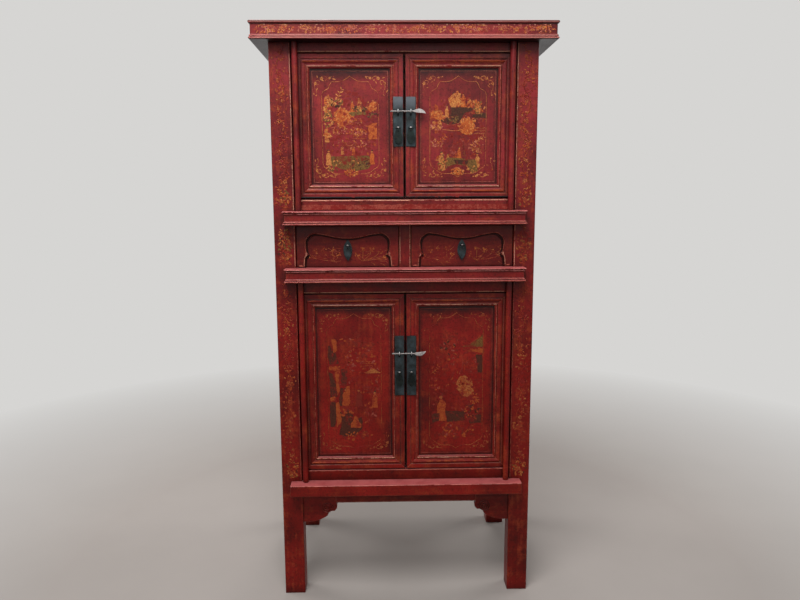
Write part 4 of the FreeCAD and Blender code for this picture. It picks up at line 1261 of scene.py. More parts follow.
PICTURES: dict[Garden, Picture] = {
    # Garden terrace with a flowering tree, a garden house and guests
    Garden.TERRACE: (
        ("pad", (([(-60, -86), (54, -84), (62, -100), (54, -122), (12, -130), (-34, -122), (-62, -110)],
                  OLIVE, 8),)),
        ("foliage", ((38, -102, 40, 26, 30, (UMBER, OLIVE, EARTH), 11),
                     (-14, -102, 80, 30, 40, (OLIVE, GOLD, EARTH), 10))),
        ("figure", ((-68, -112, 50, GOLD, 1), (64, -110, 46, ORANGE, -1), (-26, -80, 28, GOLD, 1),
                    (8, -82, 30, ORANGE, -1), (-72, -44, 42, GOLD, 1), (6, 44, 36, ORANGE, 1),
                    (27, 46, 46, GOLD, -1))),
        ("pad", (([(-6, 44), (46, 46), (48, 36), (-2, 33)], OLIVE, 4),)),
        ("stroke", (([(-42, -58), (-36, -30), (-26, -4), (-30, 28)], 4.5, UMBER, 0.5),)),
        ("pad", (([(-46, 20), (-40, 44), (-24, 56), (-6, 46), (0, 24), (-14, 8), (-32, 6)], ORANGE, 8),)),
        ("foliage", ((-24, 30, 56, 54, 96, (ORANGE, ORANGE, GOLD), 10),
                     (-36, -6, 46, 32, 44, (GOLD, ORANGE, ROSE), 8),
                     (-42, 72, 44, 26, 40, (OLIVE, OLIVE, UMBER, GOLD), 10))),
        ("stroke", (([(-76, -60), (-72, -20), (-76, 30), (-68, 78)], 3.6, OLIVE, 0.6),)),
        ("foliage", ((-68, 66, 24, 60, 52, (GOLD, GOLD, ORANGE), 9), (-66, 24, 28, 50, 44, (OLIVE, GOLD), 9),
                     (-70, -20, 22, 34, 26, (GOLD, ORANGE), 9))),
        ("pad", (([(52, 50), (56, 66), (66, 76), (78, 66), (80, 50)], ORANGE, 5),)),
        ("foliage", ((66, 62, 36, 32, 40, (ORANGE, GOLD), 9), (66, 36, 36, 16, 16, (UMBER, OLIVE), 8))),
        ("pad", (([(54, 12), (80, 14), (80, -34), (54, -34)], ORANGE, 3),)),
        ("fence", ((56, -30, 22, 38, 3, GOLD), (-14, -34, 58, 26, 5, ORANGE))),
        ("foliage", ((24, -14, 56, 26, 34, (ORANGE, GOLD, ROSE), 8), (8, 20, 60, 22, 24, (ROSE, ORANGE), 8),
                     (0, -52, 110, 30, 44, (GOLD, ROSE, ORANGE), 7),
                     (26, 52, 44, 20, 24, (OLIVE, UMBER), 9))),
        ("cloud", ((14, 18, 44, GOLD), (-10, -48, 60, GOLD))),
        ("sprig", ((-34, 68, 1.7, 44, GOLD, GOLD, -0.9),)),
        ("foliage", ((0, -134, 44, 20, 34, (GOLD, ORANGE, ORANGE), 8),
                     (-60, -120, 40, 22, 22, (GOLD, OLIVE), 8), (30, -112, 60, 24, 26, (OLIVE, UMBER), 10))),
    ),
    # Dark river bank with strollers above a mossy mound
    Garden.RIVERBANK: (
        ("pad", (([(-24, 58), (32, 60), (46, 50), (20, 42), (6, 14), (-26, 6), (-58, 20), (-28, 26)],
                  UMBER, 5),
                 ([(46, 38), (84, 42), (84, 26), (42, 28)], UMBER, 4))),
        ("stroke", (([(-60, 18), (-30, 3), (6, 10), (22, 38), (50, 48)], 3.0, GOLD, 0.6),
                    ([(42, 26), (62, 22), (84, 24)], 2.6, GOLD, 0.6))),
        ("figure", ((-14, 58, 46, GOLD, 1), (16, 58, 44, ORANGE, -1), (-34, 26, 40, GOLD, 1),
                    (62, 38, 42, GOLD, -1), (-50, -128, 60, GOLD, 1), (-30, -116, 40, GOLD, -1),
                    (4, -94, 38, ORANGE, 1), (60, -120, 46, GOLD, -1))),
        ("rock", ((-66, 22, 34, 46, ORANGE, GOLD),)),
        ("foliage", ((-62, 30, 40, 46, 54, (GOLD, ORANGE), 9), (-64, 2, 40, 22, 26, (GOLD, ROSE), 8))),
        ("pad", (([(-26, 62), (-22, 92), (-8, 100), (4, 90), (8, 62)], GOLD, 6),)),
        ("foliage", ((-6, 82, 44, 44, 54, (GOLD, ORANGE), 9), (34, 70, 50, 26, 34, (GOLD, ORANGE), 9),
                     (64, 58, 34, 44, 40, (GOLD, ORANGE, OLIVE), 9))),
        ("pad", (([(6, -14), (14, 16), (34, 24), (52, 8), (48, -16), (24, -24)], ORANGE, 8),)),
        ("foliage", ((28, 4, 56, 52, 90, (ORANGE, GOLD, ORANGE), 9),
                     (-16, 24, 60, 22, 20, (UMBER, OLIVE), 9))),
        ("stroke", (([(-48, -6), (-20, -12), (8, -10), (20, -4)], 3.4, GOLD, 0.5),
                    ([(-50, -18), (-14, -24), (16, -16)], 7.0, ORANGE, 0.4))),
        ("ripple", ((48, -4, GOLD), (48, -12, GOLD), (48, -20, GOLD))),
        ("sprig", ((-70, -52, 0.5, 40, GOLD, ORANGE, 0.4), (44, -46, 0.3, 38, GOLD, GOLD, 0.5))),
        ("cloud", ((56, -64, 50, GOLD),)),
        ("sprig", ((14, -54, -1.2, 30, GOLD, OLIVE, -0.4),)),
        ("pad", (([(-34, -90), (20, -94), (56, -98), (62, -130), (42, -136), (32, -116), (-8, -110),
                   (-36, -116)], OLIVE, 6),
                 ([(-12, -96), (32, -98), (30, -112), (-8, -109)], UMBER, 4))),
        ("foliage", ((40, -124, 40, 24, 30, (OLIVE, GOLD), 9),)),
        ("blossom", ((0, -132, 24, ORANGE, 7),)),
        ("foliage", ((0, -132, 40, 22, 30, (ORANGE, GOLD), 8), (-48, -106, 34, 50, 34, (GOLD, OLIVE), 9),
                     (56, -58, 50, 34, 26, (ROSE, GOLD), 7), (-62, -48, 40, 26, 20, (GOLD, ROSE), 7))),
    ),
    # Pillared court, much faded, with rocks at its foot
    Garden.COURTYARD: (
        ("pad", (([(-82, 120), (-76, 122), (-72, 98), (-80, 96)], UMBER, 4),
                 ([(-82, 100), (-62, 104), (-48, 62), (-80, 58)], UMBER, 4),
                 ([(-82, 36), (-68, 28), (-58, -12), (-54, -46), (-78, -50)], UMBER, 4),
                 ([(-44, 44), (-22, 42), (-26, -8), (-42, -10)], UMBER, 4),
                 ([(-80, -66), (-62, -62), (-60, -110), (-66, -146), (-80, -146)], UMBER, 4),
                 ([(-44, -16), (-34, -20), (-40, -80), (-52, -72)], UMBER, 4),
                 ([(-72, 142), (-56, 140), (-52, 104), (-66, 96)], ORANGE, 4),
                 ([(-80, 54), (-44, 56), (-46, 40), (-82, 42)], ORANGE, 4),
                 ([(-62, 36), (-46, 40), (-48, -30), (-56, -44)], ORANGE, 4),
                 ([(-30, -14), (-16, -10), (-14, -70), (-28, -72)], ORANGE, 4),
                 ([(-60, -66), (-50, -64), (-42, -124), (-58, -150)], ORANGE, 4),
                 ([(-80, -50), (-62, -44), (-60, -58), (-78, -62)], ORANGE, 4))),
        ("figure", ((-30, -76, 62, ORANGE, 1), (14, -80, 64, EARTH, -1), (64, -84, 60, ORANGE, -1))),
        ("roof", ((58, 30, 46, 14, GOLD, ORANGE),)),
        ("fence", ((30, -34, 50, 18, 4, EARTH),)),
        ("pad", (([(-52, -174), (-40, -112), (-16, -96), (-6, -130), (22, -112), (24, -150), (-6, -178)],
                  UMBER, 6),)),
        ("rock", ((2, -150, 36, 40, ORANGE, UMBER),)),
        ("foliage", ((-26, -104, 56, 30, 26, (UMBER, ORANGE, EARTH), 11),
                     (4, -176, 110, 30, 22, (ORANGE, EARTH), 12), (30, 110, 80, 60, 10, (EARTH, EARTH), 12))),
        ("cloud", ((40, 66, 56, ORANGE),)),
    ),
    # Hall under a wide eave beside a golden tree, much faded
    Garden.EAVES: (
        ("pad", (([(84, 152), (84, 112), (16, 112), (44, 122), (66, 136)], OLIVE, 3),)),
        ("stroke", (([(12, 112), (42, 122), (66, 138), (84, 156)], 2.4, GOLD, 0.6),)),
        ("pad", (([(84, 107), (84, 92), (40, 97), (10, 108)], ORANGE, 3),
                 ([(82, 88), (82, 28), (68, 30), (62, 88)], UMBER, 4))),
        ("fence", ((44, 6, 38, 34, 3, EARTH),)),
        ("stroke", (([(22, 10), (16, 40), (24, 66), (14, 92)], 1.8, ROSE, 0.5),
                    ([(26, 8), (30, 44), (22, 80)], 1.4, ORANGE, 0.5))),
        ("pad", (([(4, -8), (10, 16), (28, 22), (42, 6), (46, -20), (58, -34), (34, -54), (14, -40)],
                  GOLD, 8),)),
        ("foliage", ((28, -14, 46, 62, 90, (ORANGE, ORANGE, GOLD), 12),
                     (56, -58, 40, 50, 30, (ORANGE, EARTH), 10))),
        ("sprig", ((-82, 26, 0.5, 34, GOLD, ORANGE, 0.7),)),
        ("figure", ((-46, -130, 96, ORANGE, -1),)),
        ("pad", (([(-80, -106), (-52, -104), (-54, -130), (-76, -138)], UMBER, 6),
                 ([(-34, -96), (24, -100), (30, -128), (-30, -134)], UMBER, 6),
                 ([(34, -116), (82, -110), (82, -138), (44, -140)], UMBER, 6))),
        ("foliage", ((50, -100, 60, 60, 44, (ORANGE, UMBER, EARTH), 10),
                     (0, -170, 130, 46, 30, (EARTH, ORANGE, EARTH), 12),
                     (-20, 120, 70, 70, 14, (UMBER, EARTH), 11))),
    ),
}


@dataclass
class PaintedDoor:
    """Gilding of one door: the lines of its frame, the cartouche of its panel and the garden inside."""

    garden: Garden
    palette: Palette
    border_palette: Palette
    line_palette: Palette
    ghost_palette: Palette
    border_seed: int = 10
    ground_seed: int = 80
    frame_width: float = 41.0
    tongue: float = 7.0
    cartouche_half: float = 85.0
    cartouche_margin: float = 21.0
    cartouche_line: float = 1.7
    corner_lift: float = 2.0
    corner_scrolls: tuple[tuple[Point, ...], ...] = (
        ((102, 44), (107, 30), (102, 16), (92, 14), (89, 22), (94, 26)),
        ((92, 14), (82, 2), (70, 3), (66, 11), (72, 14)),
        ((66, 11), (58, 2), (48, 4)), ((104, 40), (97, 50), (101, 58)),
    )
    corner_flowers: tuple[tuple[float, float, float], ...] = ((84, 9, 11), (103, 24, 10), (60, 8, 8))
    corner_leaves: tuple[Point, ...] = ((96, 8), (76, 16), (96, 36), (108, 50), (52, 10))
    leaf_length: float = 9.0
    border_inset: float = 7.0
    border_line: float = 1.1
    bead_inset: float = 34.8
    bead_depth: float = 1.25
    bead_line: float = 2.4
    hump_inset: float = 21.3
    hump_depth: float = 0.5
    hump_line: float = 6.0
    mist: int = 260
    mist_drop: float = 14.0
    mist_shares: Point = (1.96, 1.6)
    mist_gap: float = 2.0
    mist_size: float = 12.0
    faded_rag: float = 2.2

    def __post_init__(self) -> None:
        """Take the panel's field and the frame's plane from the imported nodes."""
        self.body = self.garden.door()
        self.panel = Front(self.body + "_panel")
        self.half = (self.panel.half_x - self.tongue, self.panel.half_z - self.tongue)
        self.top = self.half[1] - self.cartouche_margin

    def gild_frame(self) -> None:
        """Draw the rubbed lines on the frame's bead, paler on the level rails as painted highlight, and the
        streaks on its hump.
        """
        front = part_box(self.body + "_rails")[0].y
        easel = Easel(Vector((self.panel.middle.x, front, self.panel.middle.z)))
        lines = GardenBrush(self.body + "_frame_lines")
        out = self.frame_width - self.bead_inset
        x, y = (half + out for half in self.half)
        # Level bead lines pale as painted highlight from light above; upright ones rose
        lines.box_lines((x, y), self.bead_line, (PALE, ROSE), self.bead_depth)
        lines.hang(easel, self.line_palette.materials(), self.body)
        streaks = GardenBrush(self.body + "_frame_streaks")
        x, y = (half + self.frame_width - self.hump_inset for half in self.half)
        for way in (-1, 1):
            streaks.rule((-x, way * y), (x, way * y), self.hump_line, ORANGE, self.hump_depth)
        streaks.hang(easel, self.ghost_palette.materials(), self.body)

    def draw_cartouche(self, brush: GardenBrush) -> None:
        """Draw the cusped outline, the corner scrolls and the thin border."""
        side, top = self.cartouche_half, self.top
        crest = [(0, top), (14, top - 11), (34, top - 18), (54, top - 16)]
        shoulder = [(54, top - 16), (61, top - 24), (64, top - 36), (74, top - 40), (side, top - 48),
                    (side, top - 66)]
        flank = [(side, top - 66), (side, 44 - top)]
        foot = [(side, 44 - top), (side - 3, 31 - top), (72, 27 - top), (62, 18 - top), (46, 10 - top),
                (24, 12 - top), (8, 7 - top), (0, -top)]
        for hand in (-1, 1):
            for route in (crest, shoulder, flank, foot):
                brush.stroke([(hand * x, y) for x, y in route], self.cartouche_line, GOLD, 0.9)
            for way in (-1, 1):
                self.draw_corner(brush, hand, way)
        x, y = (half - self.border_inset for half in self.half)
        brush.box_lines((x, y), self.border_line, (ROSE, ROSE))

    def draw_corner(self, brush: GardenBrush, hand: int, way: int) -> None:
        """Draw the scrolls, flowers and leaves of one corner."""
        def placed(x: float, drop: float) -> Point:
            """Point given from the cartouche's top, moved to the corner."""
            return hand * x, way * (self.top + self.corner_lift - drop)

        for route in self.corner_scrolls:
            brush.scroll([placed(*point) for point in route], GOLD)
        for x, drop, size in self.corner_flowers:
            brush.blossom(*placed(x, drop), size)
        for point in self.corner_leaves:
            brush.leaf(*placed(*point), brush.near(self.leaf_length), brush.chance.uniform(0, math.tau), GOLD)

    def lay_ground(self, brush: GardenBrush) -> None:
        """Lay the patchy brown ground inside the cartouche."""
        across = (self.cartouche_half - self.mist_gap) * self.mist_shares[0]
        brush.foliage(0, -self.mist_drop, across, self.top * self.mist_shares[1], self.mist,
                      (ORANGE, EARTH, ROSE, EARTH), self.mist_size)

    def build(self) -> None:
        """Make the frame's lines and streaks, the cartouche, its ground and the picture."""
        self.gild_frame()
        easel = self.panel.easel()
        seed = list(Garden).index(self.garden)
        border = GardenBrush(self.body + "_cartouche", self.border_seed + seed)
        self.draw_cartouche(border)
        border.hang(easel, self.border_palette.materials(), self.body, "painted_panel")
        ground = GardenBrush(self.body + "_ground", self.ground_seed + seed)
        self.lay_ground(ground)
        ground.hang(easel, self.ghost_palette.materials(), self.body, "painted_panel")
        brush = GardenBrush(self.body + "_painting", seed)
        brush.laid = ground.laid
        if self.garden in (Garden.COURTYARD, Garden.EAVES):
            brush.rag = self.faded_rag
        brush.paint(PICTURES[self.garden])
        brush.hang(easel, self.palette.materials(), self.body, "painted_panel")


@dataclass
class EdgeShadow:
    """Painted shadow along the meeting edges of the doors and the lower edge of the upper ones."""

    dark: bpy.types.Material
    relief: float = 0.12
    foot_width: float = 5.0
    meeting_width: float = 2.2
    edge_gap: float = 0.1
    side_gap: float = 2.0

    def build(self) -> None:
        """Draw the painted shadow on all four doors."""
        for garden in Garden:
            level, side = garden.value
            rails = Front(garden.door() + "_rails")
            x, z = rails.half_x - self.side_gap, rails.half_z - self.side_gap
            brush = GardenBrush(garden.door() + "_edge_dirt", relief=self.relief)
            if level == "upper":
                foot = self.edge_gap + self.foot_width / 2 - rails.half_z
                brush.rule((-x, foot), (x, foot), self.foot_width, EARTH)
            hand = 1 if side == "left" else -1
            edge = hand * (rails.half_x - self.edge_gap - self.meeting_width / 2)
            brush.rule((edge, -z), (edge, z), self.meeting_width, EARTH)
            brush.hang(rails.easel(), [self.dark], garden.door())


@dataclass
class Frieze:
    """Gilt flower clusters and rows of dots round the moulded top."""

    palette: Palette
    seed: int = 20
    recess: float = 5.16
    rise: float = 28.1
    height: float = 28.0
    end_gap: float = 4.0
    cluster_step: float = 62.0
    cluster_width: float = 76.0
    cluster_tall: float = 25.0
    cluster_stray: float = 8.0
    flower_size: float = 13.0
    flower_stray: float = 16.0
    flower_rise: Point = (-5.0, 6.0)
    flower_leaves: tuple[float, int] = (70.0, 52)
    cloud_rise: float = 4.0
    cloud_width: float = 40.0
    cloud_leaves: tuple[float, int] = (66.0, 34)
    dab_size: float = 6.5
    dot_step: float = 15.0
    dot_share: float = 0.35
    dot_drop: float = 2.5
    dot: Point = (6.0, 4.0)
    dot_turn: float = 0.2

    def paint(self, brush: GardenBrush, length: float) -> None:
        """Draw one face's row of clusters.

        Args:
            brush: Brush on the face's middle line.
            length: Length of the face.
        """
        count = max(2, round(length / self.cluster_step))
        reach = (length - self.cluster_width) / 2
        chance = brush.chance
        for index in range(count):
            x = -length / 2 + length * (index + 0.5) / count
            x = max(-reach, min(reach, x + chance.uniform(-self.cluster_stray, self.cluster_stray)))
            if index % 3 == 2:
                brush.cloud(x, self.cloud_rise, self.cloud_width, GOLD)
                wide, dabs = self.cloud_leaves
                brush.foliage(x, 0, wide, self.cluster_tall, dabs, (ROSE, GOLD, ROSE), self.dab_size)
                continue
            for _ in range(2):
                brush.blossom(x + chance.uniform(-self.flower_stray, self.flower_stray),
                              chance.uniform(*self.flower_rise), brush.near(self.flower_size),
                              chance.choice((GOLD, ROSE, ORANGE)))
            wide, dabs = self.flower_leaves
            brush.foliage(x, 0, wide, self.cluster_tall, dabs, (GOLD, ROSE, ORANGE, ROSE), self.dab_size)
        for index in range(int(length / self.dot_step)):
            if chance.random() < self.dot_share:
                brush.dab(-length / 2 + (index + 0.5) * self.dot_step, self.height / 2 - self.dot_drop,
                          brush.near(self.dot[0]), self.dot[1], self.dot_turn, PALE)

    def build(self) -> None:
        """Paint the front and both ends."""
        ends = Front("top_frame_ends")
        low, high, y = ends.low, ends.high, ends.middle.y
        recess, z = self.recess * MILLIMETRE, low.z + self.rise * MILLIMETRE
        faces = {
            "front": (Vector((0.0, low.y + recess, z)), Vector((1.0, 0.0, 0.0)), high.x - low.x),
            "left": (Vector((low.x + recess, y, z)), Vector((0.0, -1.0, 0.0)), high.y - low.y),
            "right": (Vector((high.x - recess, y, z)), Vector((0.0, 1.0, 0.0)), high.y - low.y),
        }
        for index, (side, (middle, right, length)) in enumerate(faces.items()):
            brush = GardenBrush("top_%s_frieze_gilding" % side, self.seed + index)
            self.paint(brush, length / MILLIMETRE - 2 * self.recess - 2 * self.end_gap)
            brush.hang(Easel(middle, right), self.palette.materials())


@dataclass
class PostGilding:
    """Vines, flower clusters and edge lines on the fronts of the two front posts."""

    palette: Palette
    cluster_palette: Palette
    line_palette: Palette
    vine_seed: int = 30
    line_seed: int = 40
    cluster_seed: int = 70
    short_span: float = 200.0
    cluster_width: float = 46.0
    cluster_height: float = 58.0
    cluster_share: float = 0.96
    cluster_density: float = 0.7
    cluster_dab: float = 10.0
    edge_inset: float = 3.6
    worn_line: tuple[float, Tone] = (1.5, ROSE)
    whole_line: tuple[float, Tone] = (2.2, PALE)
    sway: float = 13.0
    period: float = 118.0
    spray_step: int = 38
    spray_size: float = 40.0
    spray_stray: float = 7.0
    spray_dabs: int = 11
    spray_dab: float = 9.0
    spray_ends: tuple[int, int] = (20, 10)
    end_gap: float = 9.0
    line_gap: float = 3.0
    whole_from: float = 1.0

    def spans(self) -> list[tuple[float, float]]:
        """Stretches of post between the belts, from below."""
        marks = [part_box(name) for name in ("bottom_belt", "lower_belt", "upper_belt", "top_frame_ends")]
        return [(below[1].z, above[0].z) for below, above in zip(marks, marks[1:])]

    def build(self) -> None:
        """Paint both posts."""
        for seed, (side, hand) in enumerate((("left", -1), ("right", 1))):
            post = "front_%s_post" % side
            front = Front(post)
            vines = GardenBrush(post + "_vines", self.vine_seed + seed)
            clusters = GardenBrush(post + "_clusters", self.cluster_seed + seed)
            lines = GardenBrush(post + "_lines", self.line_seed + seed)
            inner = -hand * (front.half_x - self.edge_inset)
            for bottom, top in self.spans():
                start, end = bottom / MILLIMETRE + self.end_gap, top / MILLIMETRE - self.end_gap
                vines.vine(start, end, self.sway, self.period, ORANGE, ORANGE, GOLD)
                first, last = round(start) + self.spray_ends[0], round(end) - self.spray_ends[1]
                for level in range(first, last, self.spray_step):
                    stray = vines.chance.uniform(-self.spray_stray, self.spray_stray)
                    vines.foliage(stray, level, self.spray_size, self.spray_size, self.spray_dabs,
                                  (ORANGE, ORANGE, GOLD), self.spray_dab)
                tall = end - start if end - start < self.short_span else self.cluster_height
                clusters.foliage(0, start + tall / 2, self.cluster_width, tall * self.cluster_share,
                                 round(tall * self.cluster_density), (OLIVE, UMBER, GOLD, ORANGE),
                                 self.cluster_dab)
                line = self.worn_line if bottom < self.whole_from else self.whole_line
                out = self.end_gap - self.line_gap
                lines.rule((inner, start - out), (inner, end + out), *line)
            for brush, palette in ((clusters, self.cluster_palette), (vines, self.palette),
                                   (lines, self.line_palette)):
                brush.hang(front.easel(level=0.0), palette.materials())


@dataclass
class RailGilding:
    """Worn gilt lines along belts, rails, muntin and apron, partly painted highlight on the belts' beads and
    the sills' top edges, and a rubbed band on the upper sill.
    """

    palette: Palette
    band_palette: Palette
    band_level: float = 1267.0
    band_half: float = 7.5
    # Sill lines run along the sills' top edges: wear and painted highlight from light above
    rows: tuple[tuple[str, float, float, Tone], ...] = (
        ("upper_head_rail", 1722.4, 2.8, PALE), ("lower_head_rail", 1004.4, 2.6, PALE),
        ("upper_sill_rail", 1286.6, 3.2, PALE), ("lower_sill_rail", 421.6, 2.4, ROSE),
        ("front_apron", 314.6, 2.0, ROSE),
    )
    # Lines along the belt beads: wear and painted highlight, pink on the upper beads that light from above
    # catches
    moulded_beads: Beads = ((3.0, 0.0, ROSE), (8.8, 3.2, ROSE), (34.2, 3.2, PINK), (40.0, 0.0, PINK))
    plain_beads: Beads = ((34.7, 0.0, PINK),)
    bead_line: float = 2.0
    half_length: float = 331.0
    apron_half: float = 226.0
    muntin_inset: float = 2.2
    muntin_line: float = 2.2
    end_gap: float = 1.0

    def line_belt(self, node: str, beads: Beads) -> None:
        """Draw a worn line on each bead of one belt, partly painted highlight."""
        belt = Front(node)
        brush = GardenBrush(node + "_lines")
        for level, setback, tone in beads:
            half = belt.half_x - setback - self.end_gap
            brush.rule((-half, level), (half, level), self.bead_line, tone, setback)
        brush.hang(Easel(Vector((0.0, belt.low.y, belt.low.z))), self.palette.materials())

    def line_rail(self, node: str, level: float, width: float, tone: Tone) -> None:
        """Draw the worn line along one rail or the apron."""
        brush = GardenBrush(node + "_line")
        half = self.apron_half if node == "front_apron" else self.half_length
        brush.rule((-half, 0), (half, 0), width, tone)
        brush.hang(Front(node).easel(level=level * MILLIMETRE), self.palette.materials())

    def rub_sill(self) -> None:
        """Lay the rubbed band on the upper sill."""
        brush = GardenBrush("upper_sill_rail_band")
        x, y = self.half_length, self.band_half
        brush.pad([(-x, -y), (x, -y), (x, y), (-x, y)], ROSE, 1.0)
        brush.hang(Front("upper_sill_rail").easel(level=self.band_level * MILLIMETRE),
                   self.band_palette.materials())

    def line_muntin(self) -> None:
        """Draw the worn lines along both edges of the muntin."""
        muntin = Front("drawer_muntin")
        brush = GardenBrush("drawer_muntin_lines")
        bottom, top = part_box("lower_belt")[1].z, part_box("upper_belt")[0].z
        x = muntin.half_x - self.muntin_inset
        half = (top - bottom) / 2 / MILLIMETRE - self.end_gap
        for way in (-1, 1):
            brush.rule((way * x, -half), (way * x, half), self.muntin_line, PALE)
        brush.hang(muntin.easel(level=(top + bottom) / 2), self.palette.materials())

    def build(self) -> None:
        """Draw every line on its own belt, rail, apron or muntin."""
        for node, beads in (("upper_belt", self.moulded_beads), ("lower_belt", self.moulded_beads),
                            ("bottom_belt", self.plain_beads)):
            self.line_belt(node, beads)
        for row in self.rows:
            self.line_rail(*row)
        self.rub_sill()
        self.line_muntin()


@dataclass
class DrawerGilding:
    """Sprays beside the pull, the bead round the shaped frame and the painted shadow in its corner, on one
    drawer.
    """

    side: str
    palette: Palette
    line_palette: Palette
    grime_and_shade: bpy.types.Material
    bead_seed: int = 50
    spray_seeds: tuple[tuple[str, int], ...] = (("left", 60), ("right", 61))
    field_depth: float = 6.0
    # Offset, width and relief of the painted shadow line under the shaped frame
    corner_shift: Point = (0.015, 0.040)
    corner_shadow_line: float = 6.4
    corner_relief: float = 0.12
    bright_points: int = 5
    bead_lines: tuple[tuple[float, Tone, float], ...] = ((2.2, PALE, 0.8), (2.0, ROSE, 0.9))
    bead_dabs: tuple[tuple[float, float, float, float, float, Tone], ...] = (
        (0.088, 0.18, 13.0, 3.6, math.pi / 2, PALE), (0.040, 0.475, 15.0, 4.4, 0.0, ROSE),
    )
    spray_foot: Point = (44.0, -46.0)
    spray_stems: tuple[Point, ...] = ((0.25, 74), (0.6, 66), (1.0, 54), (1.5, 46), (2.1, 30))
    spray_flatness: float = 0.8
    spray_line: float = 1.6
    spray_curl: Point = (7.0, 4.0)
    blade_count: int = 26
    blade_middle: float = 78.0
    blade_stray: float = 42.0
    blade_rise: Point = (-54.0, -4.0)
    blade_lean: float = 0.9
    blade_reach: Point = (8.0, 20.0)
    blade_line: float = 1.5
    lobes: tuple[Point, ...] = (
        (0.066, 0.004), (0.071, 0.186), (0.080, 0.262), (0.107, 0.300), (0.090, 0.345), (0.085, 0.420),
        (0.080, 0.558), (0.087, 0.690), (0.130, 0.795), (0.165, 0.826), (0.200, 0.820), (0.290, 0.784),
        (0.383, 0.728), (0.440, 0.708), (0.500, 0.704),
    )

    def __post_init__(self) -> None:
        """Measure the drawer's front."""
        self.body = self.side + "_drawer"
        self.front = Front(self.body + "_front")
        self.width, self.tall = 2 * self.front.half_x, 2 * self.front.half_z

    def placed(self, hand: int, shift: Point = (0.0, 0.0)) -> list[Point]:
        """Lobes of the shaped frame on one side, moved inwards and down by shares of the front."""
        return [(hand * (0.5 - across - shift[0]) * self.width, (up - 0.5 - shift[1]) * self.tall)
                for across, up in self.lobes]

    def draw_bead(self) -> None:
        """Draw the worn bead round the shaped frame."""
        brush = GardenBrush(self.body + "_bead", self.bead_seed)
        for hand in (-1, 1):
            route = self.placed(hand)
            stretches = route[:self.bright_points], route[self.bright_points - 1:]
            for stretch, line in zip(stretches, self.bead_lines):
                brush.stroke(stretch, *line)
            for across, down, *dab in self.bead_dabs:
                brush.dab(hand * (0.5 - across) * self.width, -down * self.tall, *dab)
        brush.hang(self.front.easel(), self.line_palette.materials(), self.body)

    def draw_sprays(self) -> None:
        """Draw the stems and blades on both sides of the pull."""
        brush = GardenBrush(self.body + "_sprays", dict(self.spray_seeds)[self.side])
        chance = brush.chance
        for hand in (-1, 1):
            x, y = hand * self.spray_foot[0], self.spray_foot[1]
            for turn, length in self.spray_stems:
                turn = turn if hand > 0 else math.pi - turn
                across, up = length * math.cos(turn), length * math.sin(turn) * self.spray_flatness
                tip = (x + across, y + up)
                curl = (tip[0] - hand * self.spray_curl[0], tip[1] + self.spray_curl[1])
                stem = brush.fitted(((0.0, 0.0), (0.5, 0.25), (0.85, 0.6)), x, y, across, up)
                brush.stroke([*stem, tip, curl], self.spray_line, GOLD, 0.5)
                brush.foliage(*tip, 16, 14, 6, (GOLD, ORANGE), 6)
            for _ in range(self.blade_count):
                x = hand * (self.blade_middle + chance.uniform(-self.blade_stray, self.blade_stray))
                y = chance.uniform(*self.blade_rise)
                lean = chance.uniform(-self.blade_lean, self.blade_lean)
                reach = chance.uniform(*self.blade_reach)
                blade = brush.fitted(((0.0, 0.0), (0.5, 0.2), (1.0, 1.0)), x, y, reach, reach * lean)
                brush.stroke(blade, self.blade_line, chance.choice((GOLD, ORANGE, ROSE)), 0.5)
        brush.hang(self.front.easel(self.field_depth), self.palette.materials(), self.body)

    def shade_corner(self) -> None:
        """Draw the painted shadow in the corner between the shaped frame and the field."""
        brush = GardenBrush(self.body + "_corner_line", relief=self.corner_relief)
        for hand in (-1, 1):
            brush.stroke(self.placed(hand, self.corner_shift), self.corner_shadow_line, EARTH, 0.9)
        brush.hang(self.front.easel(self.field_depth), [self.grime_and_shade], self.body)

    def build(self) -> None:
        """Make the three drawings of the drawer."""
        self.draw_bead()
        self.draw_sprays()
        self.shade_corner()


@dataclass
class CarvedScrolls:
    """Carved spirals on the two spandrels under the bottom belt."""

    lacquer: bpy.types.Material
    centre: Point = (257.0, 293.0)
    inner_radius: float = 3.5
    outer_radius: float = 21.0
    start: float = math.radians(80)
    turns: float = 2.3
    steps_per_turn: int = 9
    roll_width: float = 5.0
    roll_relief: float = 0.62
    roll_tip: float = 0.75
    eye_size: float = 6.0

    def build(self) -> None:
        """Carve both scrolls as raised rolls."""
        brush = GardenBrush("spandrel_scrolls", relief=self.roll_relief)
        steps = round(self.turns * self.steps_per_turn)
        x, y = self.centre
        for hand in (-1, 1):
            route = []
            for index in range(steps + 1):
                share = index / steps
                radius = self.inner_radius + (self.outer_radius - self.inner_radius) * share
                turn = self.start + math.tau * self.turns * share
                route.append((hand * (x + radius * math.cos(turn)), y + radius * math.sin(turn)))
            brush.stroke(route, self.roll_width, GOLD, self.roll_tip)
            brush.dab(hand * x, y, self.eye_size, self.eye_size, 0.0, GOLD)
        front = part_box("front_spandrels")[0].y
        brush.hang(Easel(Vector((0.0, front, 0.0))), [self.lacquer])


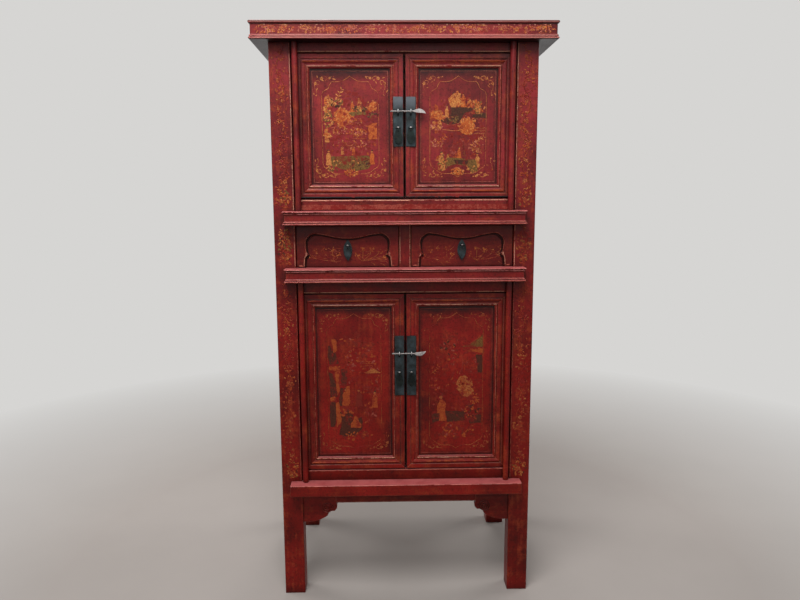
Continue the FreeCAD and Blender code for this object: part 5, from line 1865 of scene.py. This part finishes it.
@dataclass
class PullSpots:
    """Painted glint on the barrel of each leaf pull, and the dark hollows under it and under the lock eyes:
    holes with painted shadow.
    """

    bright: bpy.types.Material
    dark: bpy.types.Material
    barrel_radius: float = 3.2
    # Size of the painted glint on the barrel
    spot: Point = (5.2, 4.4)
    spot_rise: float = 0.6
    leaf_depth: float = 2.0
    # Size of the dark hollow under the barrel: the opening with painted shadow
    hollow: Point = (8.0, 5.0)
    hollow_drop: float = 9.0
    plate_thickness: float = 1.8
    eye_hollow: Point = (12.0, 8.0)
    eye_drops: tuple[tuple[str, float], ...] = (("upper", 52.0), ("lower", 64.0))

    def shade_plates(self) -> None:
        """Press the dark hollow under the eye of each lock plate: the eye's hole and its painted shadow."""
        for level, drop in self.eye_drops:
            for side in ("left", "right"):
                node, door = ("%s_%s_%s" % (level, side, kind) for kind in ("lock_plate", "door"))
                plate = Front(node)
                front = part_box(door + "_rails")[0].y - self.plate_thickness * MILLIMETRE
                brush = GiltBrush(node + "_hollow")
                brush.dab(0.0, 0.0, *self.eye_hollow, math.pi / 2, GOLD)
                middle = Vector((plate.middle.x, front, plate.high.z - drop * MILLIMETRE))
                brush.hang(Easel(middle), [self.dark], door, "black_iron")

    def build(self) -> None:
        """Press the painted glint and the shadowed hollow on every pull, and the hollows on the lock plates.
        """
        self.shade_plates()
        for node in frame["nodes"]:
            if not node.endswith(("pendant", "drawer_pull")):
                continue
            pull = Front(node)
            brush = GiltBrush(node + "_spots")
            brush.dab(0.0, self.spot_rise, *self.spot, 0.0, GOLD)
            brush.dab(0.0, -self.hollow_drop, *self.hollow, math.pi / 2, PALE, -self.leaf_depth)
            easel = pull.easel(level=pull.high.z - self.barrel_radius * MILLIMETRE)
            brush.hang(easel, [self.bright, self.dark], node, "black_iron")


def main() -> None:
    """Build the scene in order."""
    logging.basicConfig(level=logging.INFO, format="%(name)s: %(message)s")
    PhotoCamera().build()
    Studio().build()
    carcass = Carcass()
    carcass.dress()
    bright = Palette("bright_gilding", 0.40, 0.24)
    faded = Palette("faded_gilding", 0.34, 0.56)
    faint = Palette("faint_gilding", 0.50, 0.46)
    ghost = Palette("ghost_gilding", 0.60, 0.62)
    lines = Palette("line_gilding", 0.44, 0.16)
    frieze = Palette("frieze_gilding", 0.44, 0.22)
    soft = Palette("soft_gilding", 0.46, 0.34)
    for garden in Garden:
        pair = (bright, frieze) if garden.value[0] == "upper" else (faded, ghost)
        PaintedDoor(garden, *pair, lines, ghost).build()
    Frieze(soft).build()
    PostGilding(ghost, faint, lines).build()
    RailGilding(lines, ghost).build()
    # Dark paint of the drawer corners: painted shadow
    grime_and_shade = GiltFinish("corner_painted_shadow", pigment(52, 14, 11), pigment(26, 8, 7), 0.2).material()
    # Near-black paint at the door gaps: painted shadow
    EdgeShadow(GiltFinish("edge_painted_shadow", pigment(24, 9, 8), pigment(10, 5, 5), 0.3).material()).build()
    for side in ("left", "right"):
        DrawerGilding(side, soft, lines, grime_and_shade).build()
    CarvedScrolls(carcass.material("front_spandrels", "red_lacquer")).build()
    hollow = IronFinish("hollow_iron", 1.0, pigment(8, 8, 9), pigment(16, 17, 18), plate_reflection_from=9.0)
    # Bright steel spots: painted glint; near-black hollows: painted shadow
    PullSpots(SteelFinish("barrel_glint").material(), hollow.material()).build()


if __name__ == "__main__":
    main()
